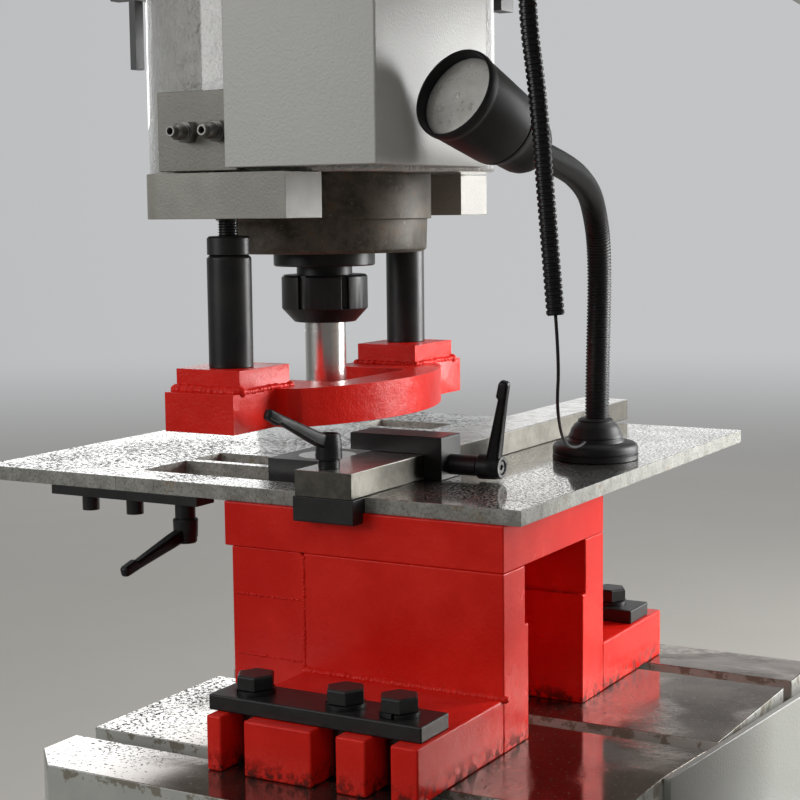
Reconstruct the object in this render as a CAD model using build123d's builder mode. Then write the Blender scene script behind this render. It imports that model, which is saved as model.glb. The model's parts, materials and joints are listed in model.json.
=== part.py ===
from build123d import *
import math
import os

os.makedirs("parts", exist_ok=True)

# Hydraulic ironworker: a C-frame punch press with a clamped bolster, a work table and a gauge.
# Millimetres. The origin is on the floor, under the punch axis. The throat opens towards -X.
# Names ending in _h are heights above the top of the bed.

bed_top = 700

# Clearances
slip = 0.05
gap = 0.3
hole_play = 1

# Barrel, the cast body of the punch cylinder
barrel_radius = 175
barrel_height = 187
barrel_neck_radius = barrel_radius - 10
cylinder_bore = 200
barrel_floor = 40

# Welded C-frame
side_thickness = 40
side_room = 7
jaw_front = -110
column_front = 600
column_rear = 900
arm_lift = 8
arm_height = 320
arm_front = -215
throat_radius = 40
nose_slope_run = 155
nose_slope_drop = 110
wall_thickness = 25
liner_thickness = 16
base_thickness = 25
base_front = -160
base_rear = 1250
base_half_width = 300
anchor_inset = 40
anchor_hole = 22
nose_plate_thickness = 60
slug_door_width = 180
slug_door_height = 120
slug_door_sill = 60
gusset_run = 59
gusset_drop = 73
gusset_tail = 37
gusset_corner = 6

# T-slotted bed
bed_left = -130.5
bed_right = 422
bed_front = -337
bed_rear = 324
bed_thickness = 120
bed_corner = 35.5
slot_pitch = 234
slot_mid = -7
slot_mouth = 28
slot_mouth_depth = 20
slot_foot = 48
slot_foot_depth = 22
skirt_angle = 5.2
skirt_thickness = 7
skirt_start = -110
skirt_meet = -5
slug_hole = 50

# Bolster, four welded members
bolster_front = -116
bolster_rear = 117
bolster_right = 260
bolster_block_left = -41
bolster_block_right = 43
bolster_top_left = -50
bolster_top_h = 212.5
bolster_lintel = 44.5
bolster_wall = 53
bolster_wall_step = 7
bolster_step_rise = 112
foot_height = 51
foot_reach = 164
foot_slot = 24.5
bolt_places = (71, 166.5, 221)
corner_weld = 6

# Clamp bars and bolts on the bolster's feet
clamp_left = 36
clamp_right = 256
clamp_width = 50
clamp_thickness = 14.5
bolt_diameter = 22
bolt_head_flats = 32
bolt_head_height = 13
washer_diameter = 36
washer_thickness = 5
t_nut_length = 40
bolt_tail = 4

# Ears under the barrel and the stripper's legs
ear_left = -85
ear_right = 86
ear_outer = barrel_radius + 25
ear_inner = ear_outer - 61
ear_drop = 42.5
ear_corner = 30
leg_spacing = 2 * (barrel_radius - 7)
stud_diameter = 20
stud_drop = 14
collar_diameter = 41
collar_drop = 16
collar_height = 17.5
sleeve_diameter = 42

# Stripper weldment
stripper_clear = 82.5
stripper_ring_height = 37
stripper_height = 58
stripper_eye_half = 72
stripper_eye_reach = 55
stripper_eye_corner = 8
stripper_bow = 255
stripper_reach = 100
stripper_corner = 20
stripper_skew = 4
stripper_half_width = leg_spacing / 2 - 22
stripper_ear_half = 39
stripper_ear_depth = 72
stripper_ear_front = leg_spacing / 2 + 48
stripper_pad_half = 36
stripper_pad_front = leg_spacing / 2 + 33
stripper_pad_depth = 84

# Gland, ram, coupling nut and punch
gland_radius = 110
gland_lip_radius = 105
gland_lip_height = 33
gland_neck_height = 45
gland_spigot = 65
ram_diameter = 104
ram_show = 14
ram_neck_diameter = 57
piston_height = 70
piston_top_gap = 8
seal_width = 9
seal_depth = 7
nut_diameter = 88.5
nut_room = 33
nut_height = 48
nut_nose_height = 14
nut_seat_gap = 9
nut_nose_diameter = 63
nut_slots = 6
nut_slot_width = 8
punch_diameter = 42
punch_head_diameter = 52
punch_head_height = 12
punch_step_rise = 18
punch_tip_diameter = 26
punch_tip_rise = 5

# Barrel cap
cap_radius = barrel_radius + 1
cap_thickness = 60
cap_screw_circle = 2 * (barrel_neck_radius - 20)
cap_screw_count = 12
cap_screw_head = 24
cap_screw_diameter = 16
cap_screw_head_height = 16
pipe_diameter = 18

# Port block with its two nipples
port_left = -67.5
port_face = -barrel_radius - 10
port_rise = 2
port_height = 74
port_depth = 40
nipple_places = (-29, 6.5)
nipple_rise = 36
nipple_flats = 19
nipple_hex = 10
nipple_reach = 31

# Sheet cover on the barrel's corner
cover_left = 24
cover_right = barrel_radius + 9
cover_front = -barrel_radius - 31
cover_rear = 6
cover_rise = 4
cover_sheet = 3
cover_lip = 18
cover_back_gap = 1

# Die holder and die
holder_size = 90
holder_height = 34.5
die_diameter = 60
die_height = 22
die_play = 1

# Work table
table_thickness = 15
table_front = -112
strip_width = 45
table_left = -190
table_right = 276
table_rear = 507
extension_left = -372
notch_right = 62
notch_rear = 75
window_left = -178
window_right = -72
window_front = 357
window_rear = 415
cross_strip_y = 9
cross_strip_width = 12
splice_left = -278
splice_right = -87
splice_width = 30
splice_height = 10
splice_screws = (-237, -178)
splice_screw_head = 18
splice_screw_height = 16

# Gauge
bar_left = 46.5
bar_right = 110
bar_front = -134
bar_rear = 552
bar_height = 25.5
head_left = 24
head_right = 131
head_front = 6.5
head_depth = 41.5
head_plate = 18
bar_line_x = 62
hook_drop = 24.5

# Clamping levers; those of the gauge head and the table stand off on a longer foot and reach further
lever_hub_diameter = 26
lever_foot_diameter = 21
lever_foot_height = 9
lever_barrel_height = 19
lever_hub_height = 34
lever_reach = 82
lever_rise = 38
long_lever_reach = 93
long_lever_rise = 26
head_lever_foot = 24
table_lever_foot = 7
lever_arm_sink = 5
lever_arm_width = 14
lever_arm_height = 14
lever_tip_width = 10
lever_stud_diameter = 10

# Work lamp
lamp_x = 208
lamp_y = 217
lamp_base_diameter = 93
lamp_base_height = 18.5
lamp_boot_height = 26
lamp_boot_diameter = 60
lamp_neck_diameter = 26
neck_x = (2, 2, 0, 5, 15, 32, 53)
neck_y = (0, 0, 13, -18, -66, -150, -264)
neck_rise = (0, 40, 178, 232, 252, 268, 278)
lamp_rim_diameter = 84
lamp_length = 124
lamp_wall = 2.5
shade_steps = (0, 8, 19, 39, 51, 56)
shade_radii = (11, 24, 28.8, 30.3, 36, 37)
lens_seat_depth = 12
lens_seat_width = 3.5
lamp_lens_thickness = 4

# Cable conduit and lamp wire
conduit_diameter = 16
wire_diameter = 3
gland_x = 296
gland_inset = 42
gland_nut_diameter = 30
gland_nut_height = 12

# Trip strip and switch brackets on the nose
trip_left = -263
trip_right = -230
trip_width = 14
trip_drop = 70
trip_thickness = 4
switch_x = 112
switch_width = 16
switch_front = barrel_radius - 22
switch_drop = 16

# Control cabinet on the rear side plate
cabinet_left = 640
cabinet_width = 220
cabinet_depth = 160
cabinet_bottom_h = 330
cabinet_height = 420
cabinet_wall = 2
door_thickness = 18
door_gap = 2
hinge_diameter = 12
estop_diameter = 40

# Power pack behind the column
tank_length = 280
tank_width = 380
tank_height = 330
tank_foot = 30
valve_half = 45
motor_diameter = 190
motor_length = 300


def up(height):
    return bed_top + height


def block(x0, x1, y0, y1, z0, z1, mode=Mode.ADD):
    # A rectangular bar between six planes.
    with Locations(((x0 + x1) / 2, (y0 + y1) / 2, (z0 + z1) / 2)):
        Box(x1 - x0, y1 - y0, z1 - z0, mode=mode)


def bend_radii(points):
    # Each bend of a hanging line is as large as its two runs allow.
    radii = []
    for before, here, after in zip(points, points[1:], points[2:]):
        first = Vector(*here) - Vector(*before)
        second = Vector(*after) - Vector(*here)
        half_turn = math.radians(first.get_angle(second)) / 2
        radii.append(0.45 * min(first.length, second.length) / math.tan(half_turn))
    return radii


def tube_along(points, radius):
    with BuildPart() as tube:
        with BuildLine() as route:
            FilletPolyline(*points, radius=bend_radii(points))
        with BuildSketch(Plane(route.line @ 0, z_dir=route.line % 0)):
            Circle(radius)
        sweep(path=route.line)
    return tube


side_inner = barrel_radius + side_room
side_outer = side_inner + side_thickness
jaw_top = up(-bed_thickness)

# Levels, each standing on the one before it: bolster, stripper, nut, ram, gland, barrel, arm
bolster_top = up(bolster_top_h)
stripper_bottom = bolster_top + stripper_clear
pad_top = stripper_bottom + stripper_height
nut_bottom = pad_top + nut_room
nut_top = nut_bottom + nut_height
ram_bottom = nut_top + nut_seat_gap
gland_bottom = ram_bottom + ram_show
gland_lip_top = gland_bottom + gland_lip_height
barrel_bottom = gland_lip_top + gland_neck_height
shoulder = barrel_bottom + barrel_height
arm_bottom = shoulder + arm_lift
arm_top = arm_bottom + arm_height
nose_top = shoulder + nose_plate_thickness
slot_lines = (slot_mid - slot_pitch, slot_mid, slot_mid + slot_pitch)
clamp_lines = (slot_lines[0], slot_lines[2])

# Floor plate
with BuildPart() as base_plate:
    block(base_front, base_rear, -base_half_width, base_half_width, 0, base_thickness)
    chamfer(base_plate.edges().filter_by(Axis.Z), length=30)
    anchor_x = (base_rear - base_front) / 2 - anchor_inset
    anchor_y = base_half_width - anchor_inset
    with Locations(((base_front + base_rear) / 2, 0, base_thickness)):
        with GridLocations(2 * anchor_x, 2 * anchor_y, 2, 2):
            Hole(anchor_hole / 2)
base_plate.part.label = "base_plate"
export_step(base_plate.part, "parts/base_plate.step")

# Two flame-cut C-shaped side plates, each with a gusset in the throat's upper corner
gusset_x = column_front - gusset_run
gusset_bottom = arm_bottom - gusset_drop
side_profile = [
    (jaw_front, base_thickness),
    (column_rear, base_thickness),
    (column_rear, arm_top),
    (arm_front + nose_slope_run, arm_top),
    (arm_front, arm_top - nose_slope_drop),
    (arm_front, arm_bottom),
    (gusset_x, arm_bottom),
    (gusset_x, gusset_bottom),
    (column_front, gusset_bottom - gusset_tail),
    (column_front, jaw_top),
    (jaw_front, jaw_top),
]
with BuildPart() as side_plates:
    for side_y in (-side_inner, side_outer):
        with BuildSketch(Plane.XZ.offset(-side_y)) as side_face:
            with BuildLine():
                Polyline(*side_profile, close=True)
            make_face()
            fillet(side_face.vertices().sort_by_distance((column_front, jaw_top, 0))[0], radius=throat_radius)
            fillet(side_face.vertices().sort_by_distance((gusset_x, gusset_bottom, 0))[0], radius=gusset_corner)
        extrude(amount=side_thickness)
side_plates.part.label = "side_plates"
export_step(side_plates.part, "parts/side_plates.step")

# Closing plates between the side plates: front of the jaw, back of the column, top of the arm.
# The front one has an opening for taking out the slugs.
pipe_exit = arm_bottom + arm_height / 2
with BuildPart() as frame_walls:
    block(jaw_front, jaw_front + wall_thickness, -side_inner, side_inner, base_thickness, jaw_top)
    block(
        jaw_front,
        jaw_front + wall_thickness,
        -slug_door_width / 2,
        slug_door_width / 2,
        base_thickness + slug_door_sill,
        base_thickness + slug_door_sill + slug_door_height,
        mode=Mode.SUBTRACT,
    )
    block(column_rear - wall_thickness, column_rear, -side_inner, side_inner, base_thickness, arm_top)
    block(
        arm_front + nose_slope_run,
        column_rear - wall_thickness,
        -side_inner,
        side_inner,
        arm_top - wall_thickness,
        arm_top,
    )
    with Locations(Plane(origin=(column_rear, 0, pipe_exit), z_dir=(1, 0, 0))):
        Hole(pipe_diameter / 2 + hole_play, depth=wall_thickness)
frame_walls.part.label = "frame_walls"
export_step(frame_walls.part, "parts/frame_walls.step")

# One bent liner closes the throat from the nose plate down to the bed
nose_left = arm_front
nose_right = side_inner
liner_x = column_front + liner_thickness
with BuildPart() as throat_liner:
    with BuildSketch(Plane.XZ.offset(-side_inner)):
        with BuildLine():
            outer = FilletPolyline(
                (nose_right, arm_bottom),
                (column_front, arm_bottom),
                (column_front, jaw_top),
                (jaw_front + wall_thickness, jaw_top),
                radius=throat_radius,
            )
            inner = FilletPolyline(
                (nose_right, arm_bottom + liner_thickness),
                (liner_x, arm_bottom + liner_thickness),
                (liner_x, jaw_top - liner_thickness),
                (jaw_front + wall_thickness, jaw_top - liner_thickness),
                radius=(throat_radius + liner_thickness, throat_radius + liner_thickness),
            )
            Line(outer @ 0, inner @ 0)
            Line(outer @ 1, inner @ 1)
        make_face()
    extrude(amount=2 * side_inner)
    with Locations((0, 0, jaw_top)):
        Hole(slug_hole / 2, depth=liner_thickness)
throat_liner.part.label = "throat_liner"
export_step(throat_liner.part, "parts/throat_liner.step")

# Thick nose plate that carries the barrel
with BuildPart() as nose_plate:
    block(nose_left, nose_right, -side_inner, side_inner, shoulder, nose_top)
    with Locations((0, 0, nose_top)):
        Hole(barrel_neck_radius + slip)
nose_plate.part.label = "nose_plate"
export_step(nose_plate.part, "parts/nose_plate.step")

# T-slotted bed, its right end cut to the line of the skirt
skirt_slope = math.tan(math.radians(skirt_angle))
bed_end_front = bed_right - (skirt_meet - skirt_start) * skirt_slope
slot_length = 2 * (bed_right - bed_left)
with BuildPart() as bed:
    with BuildSketch(Plane.XY.offset(jaw_top)):
        with BuildLine():
            Polyline(
                (bed_left, bed_front + bed_corner),
                (bed_left + bed_corner, bed_front),
                (bed_end_front, bed_front),
                (bed_end_front, skirt_start),
                (bed_right, skirt_meet),
                (bed_right, bed_rear),
                (bed_left, bed_rear),
                close=True,
            )
        make_face()
    extrude(amount=bed_thickness)
    with BuildSketch(Plane.YZ.offset(bed_left)):
        with Locations(*[(line, bed_top - slot_mouth_depth / 2) for line in slot_lines]):
            Rectangle(slot_mouth, slot_mouth_depth)
        with Locations(*[(line, bed_top - slot_mouth_depth - slot_foot_depth / 2) for line in slot_lines]):
            Rectangle(slot_foot, slot_foot_depth)
    extrude(amount=slot_length, mode=Mode.SUBTRACT)
    with Locations((0, 0, bed_top)):
        Hole(slug_hole / 2)
bed.part.label = "bed"
export_step(bed.part, "parts/bed.step")

# Skewed skirt plate welded on the bed's right end
skirt_end = bed_rear
skirt_x0 = bed_end_front
skirt_x1 = bed_right + (skirt_end - skirt_meet) * skirt_slope
skirt_wide = skirt_thickness / math.cos(math.radians(skirt_angle))
with BuildPart() as bed_skirt:
    with BuildSketch(Plane.XY.offset(jaw_top)):
        with BuildLine():
            Polyline(
                (skirt_x0, skirt_start),
                (skirt_x1, skirt_end),
                (skirt_x1 + skirt_wide, skirt_end),
                (skirt_x0 + skirt_wide, skirt_start),
                close=True,
            )
        make_face()
    extrude(amount=bed_thickness)
bed_skirt.part.label = "bed_skirt"
export_step(bed_skirt.part, "parts/bed_skirt.step")

# Bolster: closed block on the left, lintel on top, two walls and two slotted feet
lintel_bottom = bolster_top - bolster_lintel
with BuildPart() as bolster_block:
    block(bolster_block_left, bolster_block_right, bolster_front, bolster_rear, bed_top, lintel_bottom)
    fillet(
        bolster_block.edges().filter_by(Axis.Y).group_by(Axis.Z)[-1].sort_by(Axis.X)[-1],
        radius=corner_weld,
    )
    with Locations((0, 0, lintel_bottom)):
        Hole(slug_hole / 2)
bolster_block.part.label = "bolster_block"
export_step(bolster_block.part, "parts/bolster_block.step")

with BuildPart() as bolster_lintel_plate:
    block(bolster_top_left, bolster_right, bolster_front, bolster_rear, lintel_bottom, bolster_top)
    with Locations((0, 0, bolster_top)):
        Hole(slug_hole / 2)
bolster_lintel_plate.part.label = "bolster_top"
export_step(bolster_lintel_plate.part, "parts/bolster_top.step")

wall_plan = (
    (bolster_front, bolster_front + bolster_wall, bolster_front + bolster_wall - bolster_wall_step),
    (bolster_rear, bolster_rear - bolster_wall, bolster_rear - bolster_wall + bolster_wall_step),
)
with BuildPart() as bolster_walls:
    with BuildSketch(Plane.YZ.offset(bolster_block_right)):
        for outer_y, thick_y, thin_y in wall_plan:
            with BuildLine():
                Polyline(
                    (outer_y, bed_top),
                    (thick_y, bed_top),
                    (thick_y, up(bolster_step_rise)),
                    (thin_y, up(bolster_step_rise)),
                    (thin_y, lintel_bottom),
                    (outer_y, lintel_bottom),
                    close=True,
                )
            make_face()
    extrude(amount=bolster_right - bolster_block_right)
bolster_walls.part.label = "bolster_walls"
export_step(bolster_walls.part, "parts/bolster_walls.step")

foot_length = bolster_right - bolster_block_right
foot_rows = ((bolster_front, -1, clamp_lines[0]), (bolster_rear, 1, clamp_lines[1]))
with BuildPart() as bolster_feet:
    for foot_inner, side, line in foot_rows:
        foot_outer = foot_inner + side * foot_reach
        foot_slot_depth = abs(foot_outer - line)
        block(
            bolster_block_right,
            bolster_right,
            min(foot_inner, foot_outer),
            max(foot_inner, foot_outer),
            bed_top,
            up(foot_height),
        )
        with BuildSketch(Plane.XY.offset(bed_top)):
            with Locations(*[(x, foot_outer - side * foot_slot_depth / 2) for x in bolt_places]):
                Rectangle(foot_slot, foot_slot_depth)
            with Locations(*[(x, line) for x in bolt_places]):
                Circle(foot_slot / 2)
        extrude(amount=foot_height, mode=Mode.SUBTRACT)
bolster_feet.part.label = "bolster_feet"
export_step(bolster_feet.part, "parts/bolster_feet.step")

# Clamp bars across the slots of each foot
with BuildPart() as clamp_bars:
    for line in clamp_lines:
        block(
            clamp_left,
            clamp_right,
            line - clamp_width / 2,
            line + clamp_width / 2,
            up(foot_height),
            up(foot_height) + clamp_thickness,
        )
    chamfer(clamp_bars.edges(), length=1)
    with BuildSketch(Plane.XY.offset(up(foot_height))):
        with Locations(*[(x, line) for line in clamp_lines for x in bolt_places]):
            Circle(bolt_diameter / 2 + hole_play / 2)
    extrude(amount=clamp_thickness, mode=Mode.SUBTRACT)
clamp_bars.part.label = "clamp_bars"
export_step(clamp_bars.part, "parts/clamp_bars.step")

bolt_spots = [(x, line) for line in clamp_lines for x in bolt_places]
washer_bottom = up(foot_height) + clamp_thickness
head_bottom = washer_bottom + washer_thickness
slot_floor = bed_top - slot_mouth_depth - slot_foot_depth
hex_radius = bolt_head_flats / math.sqrt(3)

with BuildPart() as spring_washers:
    with BuildSketch(Plane.XY.offset(washer_bottom)):
        with Locations(*bolt_spots):
            Circle(washer_diameter / 2)
            Circle(bolt_diameter / 2 + hole_play / 4, mode=Mode.SUBTRACT)
    extrude(amount=washer_thickness)
spring_washers.part.label = "spring_washers"
export_step(spring_washers.part, "parts/spring_washers.step")

with BuildPart() as clamp_bolts:
    with BuildSketch(Plane.XY.offset(head_bottom)):
        with Locations(*bolt_spots):
            RegularPolygon(hex_radius, 6)
    extrude(amount=bolt_head_height)
    chamfer(clamp_bolts.faces().sort_by(Axis.Z)[-6:].edges(), length=1.5)
    with BuildSketch(Plane.XY.offset(slot_floor + bolt_tail)):
        with Locations(*bolt_spots):
            Circle(bolt_diameter / 2)
    extrude(amount=head_bottom - slot_floor - bolt_tail)
clamp_bolts.part.label = "clamp_bolts"
export_step(clamp_bolts.part, "parts/clamp_bolts.step")

t_nut_top = bed_top - slot_mouth_depth
with BuildPart() as t_nuts:
    for x, y in bolt_spots:
        block(
            x - t_nut_length / 2,
            x + t_nut_length / 2,
            y - slot_foot / 2 + hole_play,
            y + slot_foot / 2 - hole_play,
            slot_floor + bolt_tail,
            t_nut_top,
        )
        block(
            x - t_nut_length / 2,
            x + t_nut_length / 2,
            y - slot_mouth / 2 + hole_play / 2,
            y + slot_mouth / 2 - hole_play / 2,
            t_nut_top,
            bed_top - hole_play,
        )
    with BuildSketch(Plane.XY.offset(bed_top)):
        with Locations(*bolt_spots):
            Circle(bolt_diameter / 2 + slip)
    extrude(amount=-bed_thickness, mode=Mode.SUBTRACT)
t_nuts.part.label = "t_nuts"
export_step(t_nuts.part, "parts/t_nuts.step")

# Cast barrel: round body under the nose plate, turned neck through it, bored for the piston
bore_floor = barrel_bottom + barrel_floor
leg_y = leg_spacing / 2
leg_spots = [(0, -leg_y), (0, leg_y)]
with BuildPart() as barrel:
    with BuildSketch(Plane.XY.offset(barrel_bottom)):
        Circle(barrel_radius)
    extrude(amount=shoulder - barrel_bottom)
    fillet(barrel.edges().sort_by(Axis.Z)[0], radius=4)
    with BuildSketch(Plane.XY.offset(shoulder)):
        Circle(barrel_neck_radius)
    extrude(amount=nose_plate_thickness)
    with BuildSketch(Plane.XY.offset(barrel_bottom)):
        Circle(cylinder_bore / 2)
    extrude(amount=nose_top - barrel_bottom, mode=Mode.SUBTRACT)
    with BuildSketch(Plane.XY.offset(barrel_bottom)):
        with Locations(*leg_spots):
            Circle(stud_diameter / 2 + hole_play)
    extrude(amount=barrel_floor, mode=Mode.SUBTRACT)
    with BuildSketch(Plane.XY.offset(nose_top)):
        with PolarLocations(cap_screw_circle / 2, cap_screw_count):
            Circle(cap_screw_diameter / 2 + slip)
    extrude(amount=-nose_plate_thickness / 2 - hole_play, mode=Mode.SUBTRACT)
barrel.part.label = "barrel"
export_step(barrel.part, "parts/barrel.step")

# Cap over the barrel and the nose plate, with its ring of screws and the oil inlet
cap_top = nose_top + cap_thickness
with BuildPart() as cap:
    with BuildSketch(Plane.XY.offset(nose_top)):
        Circle(cap_radius)
    extrude(amount=cap_thickness)
    chamfer(cap.edges().group_by(Axis.Z)[-1], length=4)
    with BuildSketch(Plane.XY.offset(cap_top)):
        with PolarLocations(cap_screw_circle / 2, cap_screw_count):
            Circle(cap_screw_head / 2)
    extrude(amount=cap_screw_head_height)
    with BuildSketch(Plane.XY.offset(cap_top + cap_screw_head_height)):
        with PolarLocations(cap_screw_circle / 2, cap_screw_count):
            RegularPolygon(cap_screw_head / 4, 6)
    extrude(amount=-cap_screw_head_height / 2, mode=Mode.SUBTRACT)
    with BuildSketch(Plane.XY.offset(nose_top)):
        with PolarLocations(cap_screw_circle / 2, cap_screw_count):
            Circle(cap_screw_diameter / 2)
    extrude(amount=-nose_plate_thickness / 2)
    with BuildSketch(Plane.XY.offset(cap_top)):
        Circle(pipe_diameter / 2 + slip)
    extrude(amount=-cap_thickness, mode=Mode.SUBTRACT)
cap.part.label = "cap"
export_step(cap.part, "parts/cap.step")

# Turned gland that closes the barrel's lower end and guides the ram
ram_radius = ram_diameter / 2
gland_top = barrel_bottom + gland_spigot
seal_z = gland_top - 2 * seal_width
with BuildPart() as gland:
    with BuildSketch(Plane.XZ):
        with BuildLine():
            Polyline(
                (ram_radius + slip, gland_bottom),
                (gland_lip_radius - 3, gland_bottom),
                (gland_lip_radius, gland_bottom + 3),
                (gland_lip_radius + 1, gland_lip_top),
                (gland_radius, gland_lip_top),
                (gland_radius, barrel_bottom),
                (cylinder_bore / 2 - slip, barrel_bottom),
                (cylinder_bore / 2 - slip, gland_top),
                (ram_radius + slip, gland_top),
                (ram_radius + slip, seal_z + seal_width),
                (ram_radius + seal_depth, seal_z + seal_width),
                (ram_radius + seal_depth, seal_z),
                (ram_radius + slip, seal_z),
                close=True,
            )
        make_face()
    revolve(axis=Axis.Z)
gland.part.label = "gland"
export_step(gland.part, "parts/gland.step")

with BuildPart() as rod_seal:
    with BuildSketch(Plane.XY.offset(seal_z)):
        Circle(ram_radius + seal_depth)
        Circle(ram_radius + slip, mode=Mode.SUBTRACT)
    extrude(amount=seal_width)
rod_seal.part.label = "rod_seal"
export_step(rod_seal.part, "parts/rod_seal.step")

# Ram: piston, rod and the neck that the coupling nut screws onto
piston_top = nose_top - piston_top_gap
piston_bottom = piston_top - piston_height
piston_radius = cylinder_bore / 2 - slip
piston_groove = (piston_top + piston_bottom - seal_width) / 2
neck_radius = ram_neck_diameter / 2
punch_head_bottom = nut_bottom + punch_head_height
punch_head_top = punch_head_bottom + punch_head_height
with BuildPart() as ram:
    with BuildSketch(Plane.XZ):
        with BuildLine():
            Polyline(
                (0, punch_head_top),
                (neck_radius, punch_head_top),
                (neck_radius, ram_bottom),
                (ram_radius - 1.5, ram_bottom),
                (ram_radius, ram_bottom + 1.5),
                (ram_radius, piston_bottom),
                (piston_radius, piston_bottom),
                (piston_radius, piston_groove),
                (piston_radius - seal_depth, piston_groove),
                (piston_radius - seal_depth, piston_groove + seal_width),
                (piston_radius, piston_groove + seal_width),
                (piston_radius, piston_top),
                (0, piston_top),
                close=True,
            )
        make_face()
    revolve(axis=Axis.Z)
ram.part.label = "ram"
export_step(ram.part, "parts/ram.step")

with BuildPart() as piston_seal:
    with BuildSketch(Plane.XY.offset(piston_groove)):
        Circle(piston_radius)
        Circle(piston_radius - seal_depth, mode=Mode.SUBTRACT)
    extrude(amount=seal_width)
piston_seal.part.label = "piston_seal"
export_step(piston_seal.part, "parts/piston_seal.step")

# Coupling nut with spanner slots and a coned nose
nut_radius = nut_diameter / 2
nut_shoulder = nut_bottom + nut_nose_height
punch_radius = punch_diameter / 2
punch_head_radius = punch_head_diameter / 2
with BuildPart() as coupling_nut:
    with BuildSketch(Plane.XZ):
        with BuildLine():
            Polyline(
                (punch_radius + slip, nut_bottom),
                (nut_nose_diameter / 2, nut_bottom),
                (nut_radius, nut_shoulder),
                (nut_radius, nut_top - 2),
                (nut_radius - 2, nut_top),
                (neck_radius + slip, nut_top),
                (neck_radius + slip, punch_head_top - 2),
                (punch_head_radius + slip, punch_head_top - 2),
                (punch_head_radius + slip, punch_head_bottom),
                (punch_radius + slip, punch_head_bottom),
                close=True,
            )
        make_face()
    revolve(axis=Axis.Z)
    with BuildSketch(Plane.XY.offset(nut_shoulder)):
        with PolarLocations(nut_radius, nut_slots, start_angle=30):
            Rectangle(nut_slot_width, nut_slot_width)
    extrude(amount=nut_top - nut_shoulder, mode=Mode.SUBTRACT)
coupling_nut.part.label = "coupling_nut"
export_step(coupling_nut.part, "parts/coupling_nut.step")

tip_radius = punch_tip_diameter / 2
punch_tip = stripper_bottom + punch_tip_rise
punch_step = punch_tip + punch_step_rise
with BuildPart() as punch:
    with BuildSketch(Plane.XZ):
        with BuildLine():
            Polyline(
                (0, punch_tip),
                (tip_radius, punch_tip),
                (tip_radius, punch_step - punch_radius + tip_radius),
                (punch_radius, punch_step),
                (punch_radius, punch_head_bottom),
                (punch_head_radius, punch_head_bottom),
                (punch_head_radius, punch_head_top - 2),
                (neck_radius - 3, punch_head_top),
                (0, punch_head_top),
                close=True,
            )
        make_face()
    revolve(axis=Axis.Z)
punch.part.label = "punch"
export_step(punch.part, "parts/punch.step")

# Port block on the barrel's front and its two nipples
port_back = port_face + port_depth
port_bottom = barrel_bottom + port_rise
with BuildPart() as port_block:
    block(port_left, cover_left, port_face, port_back, port_bottom, port_bottom + port_height)
    chamfer(port_block.edges().filter_by(Axis.Z).group_by(Axis.Y)[0], length=1.5)
    with BuildSketch(Plane.XY.offset(port_bottom)):
        Circle(barrel_radius)
    extrude(amount=port_height, mode=Mode.SUBTRACT)
port_block.part.label = "port_block"
export_step(port_block.part, "parts/port_block.step")

nipple_spots = [(x, port_bottom + nipple_rise) for x in nipple_places]
nipple_radius = nipple_flats / math.sqrt(3)
nipple_nose = nipple_flats / 2 - 2
with BuildPart() as nipples:
    with BuildSketch(Plane.XZ.offset(-port_face)):
        with Locations(*nipple_spots):
            RegularPolygon(nipple_radius, 6)
    extrude(amount=nipple_hex)
    with BuildSketch(Plane.XZ.offset(-port_face + nipple_hex)):
        with Locations(*nipple_spots):
            Circle(nipple_nose)
    extrude(amount=nipple_reach - nipple_hex)
    with BuildSketch(Plane.XZ.offset(-port_face + nipple_reach)):
        with Locations(*nipple_spots):
            Circle(nipple_nose / 2)
    extrude(amount=-nipple_hex, mode=Mode.SUBTRACT)
nipples.part.label = "nipples"
export_step(nipples.part, "parts/nipples.step")

# Folded sheet cover over the corner of the barrel
cover_top = shoulder - cover_back_gap
cover_bottom = barrel_bottom + cover_rise
with BuildPart() as cover_box:
    with BuildSketch(Plane.XY.offset(cover_bottom)):
        with Locations(((cover_left + cover_right) / 2, (cover_front + cover_rear) / 2)):
            Rectangle(cover_right - cover_left, cover_rear - cover_front)
        Circle(barrel_radius + cover_back_gap, mode=Mode.SUBTRACT)
    extrude(amount=cover_top - cover_bottom)
    fillet(cover_box.edges().filter_by(Axis.Z).sort_by(Axis.Y)[0:2], radius=2)
    with BuildSketch(Plane.XY.offset(cover_bottom)):
        with Locations(
            (
                (cover_left + cover_right) / 2,
                (cover_front + cover_rear) / 2,
            )
        ):
            Rectangle(
                cover_right - cover_left - 2 * cover_lip,
                cover_rear - cover_front - 2 * cover_lip,
            )
        Circle(barrel_radius + cover_back_gap, mode=Mode.SUBTRACT)
    extrude(amount=cover_sheet, mode=Mode.SUBTRACT)
    with BuildSketch(Plane.XY.offset(cover_bottom + cover_sheet)):
        with Locations(((cover_left + cover_right) / 2, (cover_front + cover_rear) / 2)):
            Rectangle(
                cover_right - cover_left - 2 * cover_sheet,
                cover_rear - cover_front - 2 * cover_sheet,
            )
        Circle(barrel_radius + cover_back_gap, mode=Mode.SUBTRACT)
    extrude(amount=cover_top - cover_bottom - 2 * cover_sheet, mode=Mode.SUBTRACT)
cover_box.part.label = "cover_box"
export_step(cover_box.part, "parts/cover_box.step")

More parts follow.
